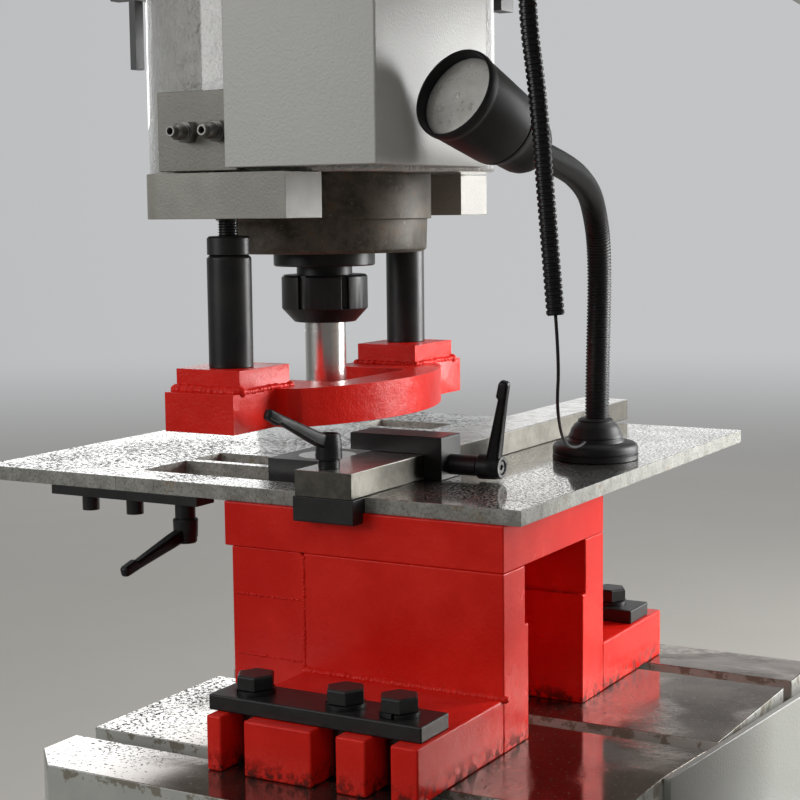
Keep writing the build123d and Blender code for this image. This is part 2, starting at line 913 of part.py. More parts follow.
# Ears under the barrel that hold the stripper's threaded legs
ear_bottom = barrel_bottom - ear_drop
with BuildPart() as ears:
    for side in (-1, 1):
        with BuildSketch(Plane.XY.offset(ear_bottom)) as ear_plan:
            with Locations(((ear_left + ear_right) / 2, side * (ear_inner + ear_outer) / 2)):
                Rectangle(ear_right - ear_left, ear_outer - ear_inner)
            fillet(ear_plan.vertices().group_by(Axis.X)[0].sort_by(Axis.Y)[0 if side < 0 else -1], radius=ear_corner)
            with Locations((0, side * leg_y)):
                Circle(stud_diameter / 2 + slip, mode=Mode.SUBTRACT)
        extrude(amount=barrel_bottom - ear_bottom)
ears.part.label = "ears"
export_step(ears.part, "parts/ears.step")

collar_top = ear_bottom - collar_drop
sleeve_top = collar_top - collar_height
stud_foot = stripper_bottom + stripper_ring_height / 2
with BuildPart() as stripper_studs:
    with BuildSketch(Plane.XY.offset(stud_foot)):
        with Locations(*leg_spots):
            Circle(stud_diameter / 2)
    extrude(amount=barrel_bottom - stud_drop - stud_foot)
    chamfer(stripper_studs.edges().group_by(Axis.Z)[-1], length=1.5)
stripper_studs.part.label = "stripper_studs"
export_step(stripper_studs.part, "parts/stripper_studs.step")

with BuildPart() as stripper_collars:
    with BuildSketch(Plane.XY.offset(sleeve_top)):
        with Locations(*leg_spots):
            Circle(collar_diameter / 2)
            Circle(stud_diameter / 2 + slip, mode=Mode.SUBTRACT)
    extrude(amount=collar_height)
    chamfer(
        stripper_collars.edges().group_by(Axis.Z)[-1].filter_by(lambda e: e.radius > stud_diameter),
        length=2,
    )
stripper_collars.part.label = "stripper_collars"
export_step(stripper_collars.part, "parts/stripper_collars.step")

with BuildPart() as stripper_sleeves:
    with BuildSketch(Plane.XY.offset(pad_top)):
        with Locations(*leg_spots):
            Circle(sleeve_diameter / 2)
            Circle(stud_diameter / 2 + slip, mode=Mode.SUBTRACT)
    extrude(amount=sleeve_top - pad_top)
    chamfer(
        stripper_sleeves.edges().group_by(Axis.Z)[-1].filter_by(lambda e: e.radius > stud_diameter),
        length=3,
    )
stripper_sleeves.part.label = "stripper_sleeves"
export_step(stripper_sleeves.part, "parts/stripper_sleeves.step")

# Stripper: a fork with a bowed web between two ears, each ear with a raised pad for its leg.
# The ears are welded on a little askew.
ring_top = stripper_bottom + stripper_ring_height
with BuildPart() as stripper:
    with BuildSketch(Plane.XY.offset(stripper_bottom)) as ring_plan:
        with Locations((stripper_reach - stripper_bow, 0)):
            Circle(stripper_bow)
        with Locations(((stripper_reach - stripper_ear_half) / 2, 0)):
            Rectangle(stripper_reach + stripper_ear_half, 2 * stripper_half_width, mode=Mode.INTERSECT)
        fillet(ring_plan.vertices().group_by(Axis.X)[-1], radius=stripper_corner)
    extrude(amount=stripper_ring_height)
    with BuildSketch(Plane.XY.offset(stripper_bottom)) as eye_plan:
        with Locations((stripper_eye_reach - stripper_reach, 0)):
            Rectangle(2 * stripper_reach, 2 * stripper_eye_half)
        fillet(eye_plan.vertices().group_by(Axis.X)[-1], radius=stripper_eye_corner)
    extrude(amount=stripper_ring_height, mode=Mode.SUBTRACT)
    for side in (-1, 1):
        ear_out = side * stripper_ear_front
        ear_in = side * (stripper_ear_front - stripper_ear_depth)
        pad_out = side * stripper_pad_front
        pad_in = side * (stripper_pad_front - stripper_pad_depth)
        skew = side * stripper_skew
        block(
            skew - stripper_ear_half,
            skew + stripper_ear_half,
            min(ear_out, ear_in),
            max(ear_out, ear_in),
            stripper_bottom,
            ring_top,
        )
        block(
            skew - stripper_pad_half,
            skew + stripper_pad_half,
            min(pad_out, pad_in),
            max(pad_out, pad_in),
            ring_top,
            pad_top,
        )
    with BuildSketch(Plane.XY.offset(stud_foot)):
        with Locations(*leg_spots):
            Circle(stud_diameter / 2 + slip)
    extrude(amount=pad_top - stud_foot, mode=Mode.SUBTRACT)
stripper.part.label = "stripper"
export_step(stripper.part, "parts/stripper.step")

# Die holder on the bolster and the die in its seat
holder_top = bolster_top + holder_height
die_seat = holder_top - die_height
with BuildPart() as die_holder:
    block(
        -holder_size / 2,
        holder_size / 2,
        -holder_size / 2,
        holder_size / 2,
        bolster_top,
        holder_top,
    )
    chamfer(die_holder.edges().filter_by(Axis.Z), length=1.5)
    with Locations((0, 0, holder_top)):
        CounterBoreHole(slug_hole / 2, die_diameter / 2 + slip, die_height)
die_holder.part.label = "die_holder"
export_step(die_holder.part, "parts/die_holder.step")

with BuildPart() as die:
    with BuildSketch(Plane.XY.offset(die_seat)):
        Circle(die_diameter / 2)
        Circle(punch_tip_diameter / 2 + die_play / 2, mode=Mode.SUBTRACT)
    extrude(amount=die_height)
die.part.label = "die"
export_step(die.part, "parts/die.step")

# Work table in four plates, flush on top
table_bottom = bolster_top
table_top = table_bottom + table_thickness
strip_rear = table_front + strip_width
with BuildPart() as table_plate:
    with BuildSketch(Plane.XY.offset(table_bottom)):
        with BuildLine():
            Polyline(
                (table_left, notch_rear),
                (notch_right, notch_rear),
                (notch_right, strip_rear),
                (table_right, strip_rear),
                (table_right, table_rear),
                (table_left, table_rear),
                close=True,
            )
        make_face()
        with Locations(((window_left + window_right) / 2, (window_front + window_rear) / 2)):
            Rectangle(window_right - window_left, window_rear - window_front, mode=Mode.SUBTRACT)
    extrude(amount=table_thickness)
table_plate.part.label = "table_plate"
export_step(table_plate.part, "parts/table_plate.step")

with BuildPart() as table_strip:
    block(table_left, table_right, table_front, strip_rear, table_bottom, table_top)
table_strip.part.label = "table_strip"
export_step(table_strip.part, "parts/table_strip.step")

with BuildPart() as table_extension:
    block(extension_left, table_left, table_front, table_rear, table_bottom, table_top)
table_extension.part.label = "table_extension"
export_step(table_extension.part, "parts/table_extension.step")

with BuildPart() as cross_strip:
    block(
        table_left,
        -holder_size / 2,
        cross_strip_y,
        cross_strip_y + cross_strip_width,
        table_bottom,
        table_top,
    )
cross_strip.part.label = "cross_strip"
export_step(cross_strip.part, "parts/cross_strip.step")

# Bars under the joint between the plates, front and rear, and their cap screws
splice_bottom = table_bottom - splice_height
splice_y = (table_front + hole_play, table_rear - splice_width - hole_play)
splice_spots = [(x, y + splice_width / 2) for y in splice_y for x in splice_screws]
with BuildPart() as splice_bars:
    for y in splice_y:
        block(splice_left, splice_right, y, y + splice_width, splice_bottom, table_bottom)
splice_bars.part.label = "splice_bars"
export_step(splice_bars.part, "parts/splice_bars.step")

with BuildPart() as splice_cap_screws:
    with BuildSketch(Plane.XY.offset(splice_bottom)):
        with Locations(*splice_spots):
            Circle(splice_screw_head / 2)
    extrude(amount=-splice_screw_height)
    with BuildSketch(Plane.XY.offset(splice_bottom - splice_screw_height)):
        with Locations(*splice_spots):
            RegularPolygon(splice_screw_head / 4, 6)
    extrude(amount=splice_screw_height / 2, mode=Mode.SUBTRACT)
splice_cap_screws.part.label = "splice_screws"
export_step(splice_cap_screws.part, "parts/splice_screws.step")

# Gauge bar across the table, its hook block in front and its sliding head
bar_top = table_top + bar_height
with BuildPart() as gauge_bar:
    block(bar_left, bar_right, bar_front, bar_rear, table_top, bar_top)
    chamfer(gauge_bar.edges().filter_by(Axis.Y), length=0.8)
gauge_bar.part.label = "gauge_bar"
export_step(gauge_bar.part, "parts/gauge_bar.step")

hook_front = bar_front - hole_play
with BuildPart() as hook_block:
    block(
        bar_left - 2,
        bar_right + 2,
        hook_front,
        bolster_front - gap,
        table_top - hook_drop,
        table_top,
    )
    block(
        bar_left - 2,
        bar_right + 2,
        bolster_front - gap,
        table_front - gap,
        table_bottom + gap,
        table_top,
    )
    chamfer(hook_block.edges().filter_by(Axis.X).group_by(Axis.Z)[0], length=1.5)
hook_block.part.label = "hook_block"
export_step(hook_block.part, "parts/hook_block.step")

head_bottom_z = bar_top + gap
head_top = head_bottom_z + head_plate
head_rear = head_front + head_depth
with BuildPart() as gauge_head:
    with BuildSketch(Plane.XZ.offset(-head_front)):
        with BuildLine():
            Polyline(
                (head_left, head_bottom_z),
                (head_left, head_top),
                (head_right, head_top),
                (head_right, table_top + gap),
                (bar_right + gap, table_top + gap),
                (bar_right + gap, head_bottom_z),
                close=True,
            )
        make_face()
    extrude(amount=-head_depth)
    chamfer(gauge_head.edges().filter_by(Axis.Y).group_by(Axis.Z)[-1], length=1)
gauge_head.part.label = "gauge_head"
export_step(gauge_head.part, "parts/gauge_head.step")


def clamp_lever(seat, long_foot, reach, rise):
    # Foot, barrel and hub turned on one axis, with a tapered arm that rises away from the seat.
    foot_top = long_foot + lever_foot_height
    hub_start = foot_top + lever_barrel_height
    arm_start = seat.from_local_coords((0, 0, hub_start - lever_arm_sink))
    arm_run = seat.from_local_coords((reach, 0, rise)) - seat.origin
    arm_plane = Plane(origin=arm_start, x_dir=seat.y_dir, z_dir=arm_run)
    with BuildPart() as lever:
        with BuildSketch(seat):
            Circle(lever_foot_diameter / 2)
        extrude(amount=foot_top)
        with BuildSketch(seat.offset(foot_top)):
            Circle(lever_hub_diameter / 2)
        extrude(amount=lever_barrel_height)
        with BuildSketch(seat.offset(hub_start)):
            Circle(lever_hub_diameter / 2 - 1)
        extrude(amount=lever_hub_height + long_foot - hub_start)
        chamfer(lever.faces().sort_by(Axis(seat.origin, seat.z_dir))[-1].edges(), length=1.5)
        with BuildSketch(arm_plane):
            RectangleRounded(lever_arm_width, lever_arm_height, 3)
        with BuildSketch(arm_plane.offset(arm_run.length)):
            RectangleRounded(lever_tip_width, lever_arm_height - 3, 3)
        loft()
        fillet(lever.faces().sort_by(Axis(arm_start, arm_run))[-1].edges(), radius=2)
    return lever


lever_x = 72
lever_y = table_front
bar_lever_turn = 258
head_lever_turn = 105.5
table_lever_turn = 264.7
table_lever_x = -113
head_lever_y = head_front + head_depth / 2
head_lever_z = table_top + lever_hub_diameter / 2 + 1.5
table_lever_y = splice_y[0] + splice_width / 2
bar_arm = Vector(1, 0, 0).rotate(Axis.Z, bar_lever_turn)
head_arm = Vector(0, 1, 0).rotate(Axis.X, head_lever_turn)
table_arm = Vector(1, 0, 0).rotate(Axis.Z, table_lever_turn)
bar_seat = Plane(origin=(lever_x, lever_y, bar_top), x_dir=bar_arm, z_dir=(0, 0, 1))
head_seat = Plane(origin=(head_right, head_lever_y, head_lever_z), x_dir=head_arm, z_dir=(1, 0, 0))
table_seat = Plane(origin=(table_lever_x, table_lever_y, splice_bottom), x_dir=table_arm, z_dir=(0, 0, -1))
levers = (
    ("lever_bar", bar_seat, 0, lever_reach, lever_rise),
    ("lever_head", head_seat, head_lever_foot, long_lever_reach, long_lever_rise),
    ("lever_table", table_seat, table_lever_foot, long_lever_reach, long_lever_rise),
)
for lever_name, seat, long_foot, reach, rise in levers:
    lever = clamp_lever(seat, long_foot, reach, rise)
    lever.part.label = lever_name
    export_step(lever.part, f"parts/{lever_name}.step")

# Work lamp: weighted base, boot, flexible neck, turned shade and lens
lamp_base_top = table_top + lamp_base_height
lamp_boot_top = lamp_base_top + lamp_boot_height
neck_points = [
    (lamp_x + x, lamp_y + y, lamp_boot_top + rise) for x, y, rise in zip(neck_x, neck_y, neck_rise)
]
with BuildPart() as lamp_base:
    with BuildSketch(Plane.XY.offset(table_top)):
        with Locations((lamp_x, lamp_y)):
            Circle(lamp_base_diameter / 2)
    extrude(amount=lamp_base_height)
    fillet(lamp_base.edges().group_by(Axis.Z)[-1], radius=4)
    with BuildSketch(Plane.XZ.offset(-lamp_y)):
        with BuildLine():
            Polyline(
                (lamp_x, lamp_base_top),
                (lamp_x + lamp_boot_diameter / 2, lamp_base_top),
                (lamp_x + lamp_neck_diameter / 2 + 6, lamp_boot_top - 6),
                (lamp_x + lamp_neck_diameter / 2 + 3, lamp_boot_top),
                (lamp_x, lamp_boot_top),
                close=True,
            )
        make_face()
    revolve(axis=Axis((lamp_x, lamp_y, 0), (0, 0, 1)))
lamp_base.part.label = "lamp_base"
export_step(lamp_base.part, "parts/lamp_base.step")

lamp_neck = tube_along(neck_points, lamp_neck_diameter / 2)
lamp_neck.part.label = "lamp_neck"
export_step(lamp_neck.part, "parts/lamp_neck.step")

shade_back = Vector(*neck_points[-1])
shade_axis = Vector(-0.228, -0.885, 0.406)
shade_side = Vector(1, 0, 0).cross(shade_axis)
mouth_radius = lamp_rim_diameter / 2 - lamp_wall
seat_radius = mouth_radius - 1
seat_step = lamp_length - lens_seat_depth
with BuildPart() as lamp_shade:
    with BuildSketch(Plane(origin=shade_back, x_dir=shade_axis, z_dir=shade_side)):
        with BuildLine():
            Polyline(
                (0, 0),
                *zip(shade_steps, shade_radii),
                (lamp_length, lamp_rim_diameter / 2),
                (lamp_length, mouth_radius),
                (seat_step, seat_radius),
                (seat_step, seat_radius - lens_seat_width),
                (shade_steps[-1], shade_radii[-1] - lens_seat_width),
                (shade_steps[-2], 0),
                close=True,
            )
        make_face()
    revolve(axis=Axis(shade_back, shade_axis))
lamp_shade.part.label = "lamp_shade"
export_step(lamp_shade.part, "parts/lamp_shade.step")

with BuildPart() as lamp_lens:
    with BuildSketch(Plane(origin=shade_back, z_dir=shade_axis).offset(seat_step)):
        Circle(seat_radius - slip)
    extrude(amount=lamp_lens_thickness)
lamp_lens.part.label = "lamp_lens"
export_step(lamp_lens.part, "parts/lamp_lens.step")

# Conduit that hangs from a gland in the arm, and the thin wire down to the lamp
gland_y = gland_inset - side_inner
conduit_points = (
    (gland_x, gland_y, arm_bottom - gland_nut_height),
    (gland_x, gland_y, up(668)),
    (307, -140, up(594)),
    (314.5, -140.5, up(505)),
    (323.4, -141, up(407)),
)
with BuildPart() as conduit_gland:
    with BuildSketch(Plane.XY.offset(arm_bottom)):
        with Locations((gland_x, gland_y)):
            RegularPolygon(gland_nut_diameter / 2, 6)
    extrude(amount=-gland_nut_height)
conduit_gland.part.label = "conduit_gland"
export_step(conduit_gland.part, "parts/conduit_gland.step")

conduit = tube_along(conduit_points, conduit_diameter / 2)
conduit.part.label = "conduit"
export_step(conduit.part, "parts/conduit.step")

wire_points = (
    (323.4, -141, up(407)),
    (327, -141.5, up(365)),
    (316, -122, up(328)),
    (299, -78, up(300)),
    (279, -24, up(280)),
    (259, 34, up(266)),
    (240, 92, up(257)),
    (221, 150, up(251)),
    (212, 178, up(250)),
)
lamp_wire = tube_along(wire_points, wire_diameter / 2)
lamp_wire.part.label = "lamp_wire"
export_step(lamp_wire.part, "parts/lamp_wire.step")

# Brackets under the nose plate: a trip strip on the left, a switch bracket at the rear
with BuildPart() as nose_brackets:
    block(
        trip_left,
        nose_left,
        -trip_width / 2,
        trip_width / 2,
        shoulder + trip_thickness,
        shoulder + 3 * trip_thickness,
    )
    block(
        trip_right - 2 * trip_thickness,
        trip_right,
        -trip_width / 2,
        trip_width / 2,
        shoulder - trip_drop,
        shoulder + trip_thickness,
    )
    block(
        switch_x,
        switch_x + switch_width,
        switch_front,
        side_inner,
        shoulder - switch_drop,
        shoulder,
    )
nose_brackets.part.label = "nose_brackets"
export_step(nose_brackets.part, "parts/nose_brackets.step")

# Control cabinet on the rear side plate, with its hinged door, hinge pin and stop button
cab_y0 = side_outer
cab_y1 = side_outer + cabinet_depth
cab_z0 = up(cabinet_bottom_h)
cab_z1 = cab_z0 + cabinet_height
cab_right = cabinet_left + cabinet_width
hinge_x = cabinet_left - hinge_diameter / 2 - door_gap
hinge_y = cab_y1 + door_gap + door_thickness / 2
hinge_band = cabinet_height / 6
door_y0 = cab_y1 + door_gap
with BuildPart() as cabinet:
    block(cabinet_left, cab_right, cab_y0, cab_y1, cab_z0, cab_z1)
    block(
        cabinet_left + cabinet_wall,
        cab_right - cabinet_wall,
        cab_y0 + cabinet_wall,
        cab_y1,
        cab_z0 + cabinet_wall,
        cab_z1 - cabinet_wall,
        mode=Mode.SUBTRACT,
    )
    for z in (cab_z0 + hinge_band, cab_z1 - 2 * hinge_band):
        with BuildSketch(Plane.XY.offset(z)):
            with Locations((hinge_x, hinge_y)):
                Circle(hinge_diameter / 2)
        extrude(amount=hinge_band / 2 - gap)
        block(
            hinge_x - hinge_diameter / 2,
            cabinet_left,
            cab_y1 - hinge_diameter,
            hinge_y,
            z,
            z + hinge_band / 2 - gap,
        )
        with BuildSketch(Plane.XY.offset(z)):
            with Locations((hinge_x, hinge_y)):
                Circle(hinge_diameter / 4)
        extrude(amount=hinge_band)
cabinet.part.label = "cabinet"
export_step(cabinet.part, "parts/cabinet.step")

estop_x = (cabinet_left + cab_right) / 2
estop_z = cab_z1 - cabinet_height / 4
with BuildPart() as cabinet_door:
    block(cabinet_left, cab_right, door_y0, door_y0 + door_thickness, cab_z0, cab_z1)
    fillet(cabinet_door.edges().filter_by(Axis.Z).group_by(Axis.Y)[-1], radius=3)
    for z in (cab_z0 + hinge_band, cab_z1 - 2 * hinge_band):
        block(
            hinge_x,
            cabinet_left,
            hinge_y - hinge_diameter / 4,
            hinge_y + hinge_diameter / 4,
            z + hinge_band / 2,
            z + hinge_band,
        )
        with BuildSketch(Plane.XY.offset(z + hinge_band / 2)):
            with Locations((hinge_x, hinge_y)):
                Circle(hinge_diameter / 2)
        extrude(amount=hinge_band / 2)
        with BuildSketch(Plane.XY.offset(z + hinge_band / 2)):
            with Locations((hinge_x, hinge_y)):
                Circle(hinge_diameter / 4 + slip)
        extrude(amount=hinge_band / 2, mode=Mode.SUBTRACT)
    with Locations(Plane(origin=(estop_x, door_y0 + door_thickness, estop_z), z_dir=(0, 1, 0))):
        Hole(estop_diameter / 4 + slip, depth=door_thickness)
cabinet_door.part.label = "cabinet_door"
export_step(cabinet_door.part, "parts/cabinet_door.step")

estop_plane = Plane(origin=(estop_x, door_y0 + door_thickness, estop_z), z_dir=(0, 1, 0))
estop_travel = 5
with BuildPart() as stop_button:
    with BuildSketch(estop_plane.offset(-door_thickness)):
        Circle(estop_diameter / 4)
    extrude(amount=door_thickness + estop_travel + 2)
    with BuildSketch(estop_plane.offset(estop_travel + 2)):
        Circle(estop_diameter / 2)
    extrude(amount=estop_diameter / 3)
    fillet(stop_button.edges().group_by(Axis.Y)[-1], radius=4)
stop_button.part.label = "stop_button"
export_step(stop_button.part, "parts/stop_button.step")

# Power pack: tank on the base plate behind the column, motor and pump on its lid
tank_x0 = column_rear + wall_thickness
tank_x1 = tank_x0 + tank_length
tank_top = base_thickness + tank_height
motor_x = (tank_x0 + tank_x1) / 2
motor_y = -tank_width / 4
valve_y = tank_width / 4
motor_foot = tank_top + door_gap * 2
with BuildPart() as tank:
    block(tank_x0, tank_x1, -tank_width / 2, tank_width / 2, base_thickness + tank_foot, tank_top)
    fillet(tank.edges().filter_by(Axis.Z), radius=8)
    with BuildSketch(Plane.XY.offset(base_thickness)):
        with Locations(((tank_x0 + tank_x1) / 2, 0)):
            with GridLocations(tank_length - 2 * tank_foot, tank_width - 2 * tank_foot, 2, 2):
                Rectangle(tank_foot, tank_foot)
    extrude(amount=tank_foot)
    block(
        tank_x0 - door_gap,
        tank_x1 + door_gap,
        -tank_width / 2 - door_gap,
        tank_width / 2 + door_gap,
        tank_top,
        motor_foot,
    )
    block(
        motor_x - valve_half,
        motor_x + valve_half,
        valve_y - valve_half,
        valve_y + valve_half,
        motor_foot,
        motor_foot + 2 * valve_half,
    )
tank.part.label = "tank"
export_step(tank.part, "parts/tank.step")

with BuildPart() as motor:
    with BuildSketch(Plane.XY.offset(motor_foot)):
        with Locations((motor_x, motor_y)):
            Circle(motor_diameter / 2 - 10)
    extrude(amount=motor_length)
    with BuildSketch(Plane.XY.offset(motor_foot + motor_length / 5)):
        with Locations((motor_x, motor_y)):
            with PolarLocations(motor_diameter / 2 - 12, 24):
                Rectangle(12, 4)
    extrude(amount=motor_length / 2)
    with BuildSketch(Plane.XY.offset(motor_foot)):
        with Locations((motor_x, motor_y)):
            RectangleRounded(motor_diameter - 30, motor_diameter - 30, 20)
    extrude(amount=motor_length / 12)
    fillet(motor.edges().group_by(Axis.Z)[-1], radius=12)
motor.part.label = "motor"
export_step(motor.part, "parts/motor.step")

# Pressure pipe from the valve block, through the column and the arm, to the cap
pipe_bend = 60
pipe_points = (
    (motor_x, valve_y, motor_foot + 2 * valve_half),
    (motor_x, valve_y, pipe_exit - 3 * pipe_bend),
    (motor_x, 0, pipe_exit),
    (0, 0, pipe_exit),
    (0, 0, cap_top - cap_thickness / 2),
)
with BuildPart() as pressure_pipe:
    with BuildLine() as pipe_route:
        FilletPolyline(*pipe_points, radius=(pipe_bend, pipe_bend, pipe_bend / 2))
    with BuildSketch(Plane(pipe_route.line @ 0, z_dir=pipe_route.line % 0)):
        Circle(pipe_diameter / 2)
    sweep(path=pipe_route.line)
pressure_pipe.part.label = "pressure_pipe"
export_step(pressure_pipe.part, "parts/pressure_pipe.step")

print("conduit bends", [round(r) for r in bend_radii(conduit_points)])
print("wire bends", [round(r) for r in bend_radii(wire_points)])
print("neck bends", [round(r) for r in bend_radii(neck_points)])
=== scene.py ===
import bisect
import json
import math
import random

import bmesh
import bpy
from mathutils import Matrix, Vector


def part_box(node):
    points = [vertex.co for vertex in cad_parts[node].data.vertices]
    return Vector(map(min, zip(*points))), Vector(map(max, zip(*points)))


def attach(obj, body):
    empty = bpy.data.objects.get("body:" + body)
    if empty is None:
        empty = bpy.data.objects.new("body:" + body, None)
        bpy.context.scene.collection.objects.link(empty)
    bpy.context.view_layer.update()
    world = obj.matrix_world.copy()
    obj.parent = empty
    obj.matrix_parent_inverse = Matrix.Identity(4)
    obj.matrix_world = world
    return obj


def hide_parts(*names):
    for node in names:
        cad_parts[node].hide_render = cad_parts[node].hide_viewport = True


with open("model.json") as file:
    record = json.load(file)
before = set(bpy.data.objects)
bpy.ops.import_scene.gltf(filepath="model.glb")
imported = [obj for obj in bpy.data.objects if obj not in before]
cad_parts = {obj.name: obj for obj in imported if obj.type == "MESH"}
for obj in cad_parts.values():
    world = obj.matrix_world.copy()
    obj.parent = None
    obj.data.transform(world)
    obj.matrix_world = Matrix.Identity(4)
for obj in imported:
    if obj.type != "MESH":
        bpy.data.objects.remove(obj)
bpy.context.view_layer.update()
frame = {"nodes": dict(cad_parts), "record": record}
bodyOf = {}
for bodyName, nodeNames in frame["record"]["behaviour"]["bodies"].items():
    for nodeName in nodeNames:
        bodyOf[nodeName] = bodyName
slotOf = {row["node"]: row["material_slot"] for row in frame["record"]["subparts"]}
dice = random.Random(7)
bedTop = 0.7


def up(height):
    return bedTop + height


print("frame loaded:", len(frame["nodes"]), "nodes")


# Camera at chest height, to the right of the machine's front, looking a little down at the work table
camera = {"place": (0.9325, -1.4815, 1.2), "turn": 29.7, "tilt": 6.42, "roll": -0.65, "lens": 76.5}


def makeCamera(c):
    turn, tilt, roll = (math.radians(c[k]) for k in ("turn", "tilt", "roll"))
    ahead = Vector((-math.sin(turn) * math.cos(tilt), math.cos(turn) * math.cos(tilt), -math.sin(tilt)))
    right = Vector((math.cos(turn), math.sin(turn), 0))
    down = ahead.cross(right)
    across = math.cos(roll) * right - math.sin(roll) * down
    below = math.sin(roll) * right + math.cos(roll) * down
    data = bpy.data.cameras.new("camera")
    data.lens = c["lens"]
    data.sensor_width = 36
    data.clip_end = 50
    eye = bpy.data.objects.new("camera", data)
    eye.matrix_world = Matrix.Translation(c["place"]) @ Matrix((across, -below, -ahead)).transposed().to_4x4()
    bpy.context.collection.objects.link(eye)
    bpy.context.scene.camera = eye


makeCamera(camera)


# Shader maths: a wrapped socket adds its Math nodes when it is used in an expression
class Wire:
    def __init__(self, finish, socket):
        self.finish = finish
        self.socket = socket

    def maths(self, operation, first, second):
        return self.finish.node("ShaderNodeMath", {"operation": operation}, {0: first, 1: second})

    def __add__(self, other):
        return self.maths("ADD", self, other)

    __radd__ = __add__

    def __sub__(self, other):
        return self.maths("SUBTRACT", self, other)

    def __rsub__(self, other):
        return self.maths("SUBTRACT", other, self)

    def __mul__(self, other):
        return self.maths("MULTIPLY", self, other)

    __rmul__ = __mul__

    def above(self, level, softness=0.02):
        return self.finish.node(
            "ShaderNodeMapRange",
            {"interpolation_type": "SMOOTHSTEP"},
            {"Value": self, "From Min": level - softness, "From Max": level + softness},
        )

    def below(self, level, softness=0.02):
        return 1 - self.above(level, softness)

    def clamped(self):
        return self.finish.node("ShaderNodeClamp", {}, {"Value": self})


class Finish:
    def __init__(self, name):
        self.material = bpy.data.materials.new(name)
        self.material.use_nodes = True
        self.tree = self.material.node_tree
        self.shader = self.tree.nodes["Principled BSDF"]
        coords = self.tree.nodes.new("ShaderNodeTexCoord")
        self.place = Wire(self, coords.outputs["Object"])

    def node(self, kind, settings, inputs, output=0):
        made = self.tree.nodes.new(kind)
        for key, value in settings.items():
            setattr(made, key, value)
        for key, value in inputs.items():
            self.feed(made.inputs[key], value)
        return Wire(self, made.outputs[output])

    def feed(self, socket, value):
        if isinstance(value, Wire):
            self.tree.links.new(value.socket, socket)
        else:
            socket.default_value = value

    def axis(self, letter):
        return self.node("ShaderNodeSeparateXYZ", {}, {0: self.place}, "XYZ".index(letter))

    def facing(self, letter):
        geometry = self.node("ShaderNodeNewGeometry", {}, {}, 1)
        return self.node("ShaderNodeSeparateXYZ", {}, {0: geometry}, "XYZ".index(letter))

    def stretched(self, scale):
        return self.node("ShaderNodeMapping", {}, {"Vector": self.place, "Scale": scale})

    def noise(self, scale, detail=2, roughness=0.5, vector=None, distortion=0):
        return self.node(
            "ShaderNodeTexNoise",
            {},
            {
                "Vector": vector or self.place,
                "Scale": scale,
                "Detail": detail,
                "Roughness": roughness,
                "Distortion": distortion,
            },
        )

    def mix(self, mask, first, second):
        def asColour(value):
            return value if isinstance(value, Wire) else (*value, 1)

        colours = {0: mask, 6: asColour(first), 7: asColour(second)}
        return self.node("ShaderNodeMix", {"data_type": "RGBA"}, colours, 2)

    def blendValue(self, mask, first, second):
        return mask * (second - first) + first

    def bump(self, height, depth, strength=1.0, after=None):
        inputs = {"Height": height, "Distance": depth, "Strength": strength}
        if after is not None:
            inputs["Normal"] = after
        return self.node("ShaderNodeBump", {}, inputs)

    def set(self, **values):
        names = {
            "colour": "Base Color",
            "roughness": "Roughness",
            "metal": "Metallic",
            "coat": "Coat Weight",
            "coatRoughness": "Coat Roughness",
            "normal": "Normal",
            "specular": "Specular IOR Level",
            "glow": "Emission Color",
            "glowStrength": "Emission Strength",
        }
        for key, value in values.items():
            if key in ("colour", "glow") and not isinstance(value, Wire):
                value = (*value, 1)
            self.feed(self.shader.inputs[names[key]], value)
        return self.material


def redPaint():
    f = Finish("redPaint")
    peel = f.noise(420, 3, 0.6)
    lumps = f.noise(60, 3, 0.55)
    tone = f.noise(14, 3, 0.6)
    colour = f.mix(tone.above(0.52, 0.16), (0.66, 0.013, 0.007), (0.76, 0.021, 0.012))
    # Darker in patches in a band just above the bed top, and in scattered dark specks.
    foot = f.axis("Z").below(bedTop + 0.012, 0.012) * f.noise(90, 4, 0.7).above(0.52, 0.08)
    darkPatches = (foot + f.noise(240, 5, 0.75).above(0.735, 0.02) * 0.6).clamped()
    colour = f.mix(darkPatches, colour, (0.09, 0.012, 0.008))
    bumps = f.bump(peel, 0.0004, 0.8, f.bump(lumps, 0.0012, 0.6))
    rough = f.blendValue(tone, 0.2, 0.32) + darkPatches * 0.3
    return f.set(colour=colour, roughness=rough, specular=0.16, normal=bumps)


def greyPaint(name="greyPaint", tint=(0.47, 0.47, 0.445)):
    f = Finish(name)
    tone = f.noise(9, 3, 0.6)
    specks = f.noise(700, 2, 0.6).above(0.72, 0.02)
    colour = f.mix(tone.above(0.5, 0.2), tint, tuple(c * 1.06 for c in tint))
    colour = f.mix(specks * 0.35, colour, (0.2, 0.2, 0.19))
    normal = f.bump(f.noise(380, 3, 0.55), 0.0006, 0.6)
    return f.set(colour=colour, roughness=f.blendValue(tone, 0.3, 0.42), specular=0.35, normal=normal)


def castPaint():
    f = Finish("castPaint")
    lumps = f.noise(70, 4, 0.6, f.stretched((1, 1, 0.6)))
    pits = f.noise(260, 3, 0.6)
    tone = f.noise(30, 3, 0.6)
    colour = f.mix(tone.above(0.5, 0.2), (0.56, 0.555, 0.53), (0.48, 0.475, 0.45))
    normal = f.bump(pits, 0.0025, 0.7, f.bump(lumps, 0.011, 1.0))
    return f.set(colour=colour, roughness=0.16, normal=normal, coat=1.0, coatRoughness=0.06)


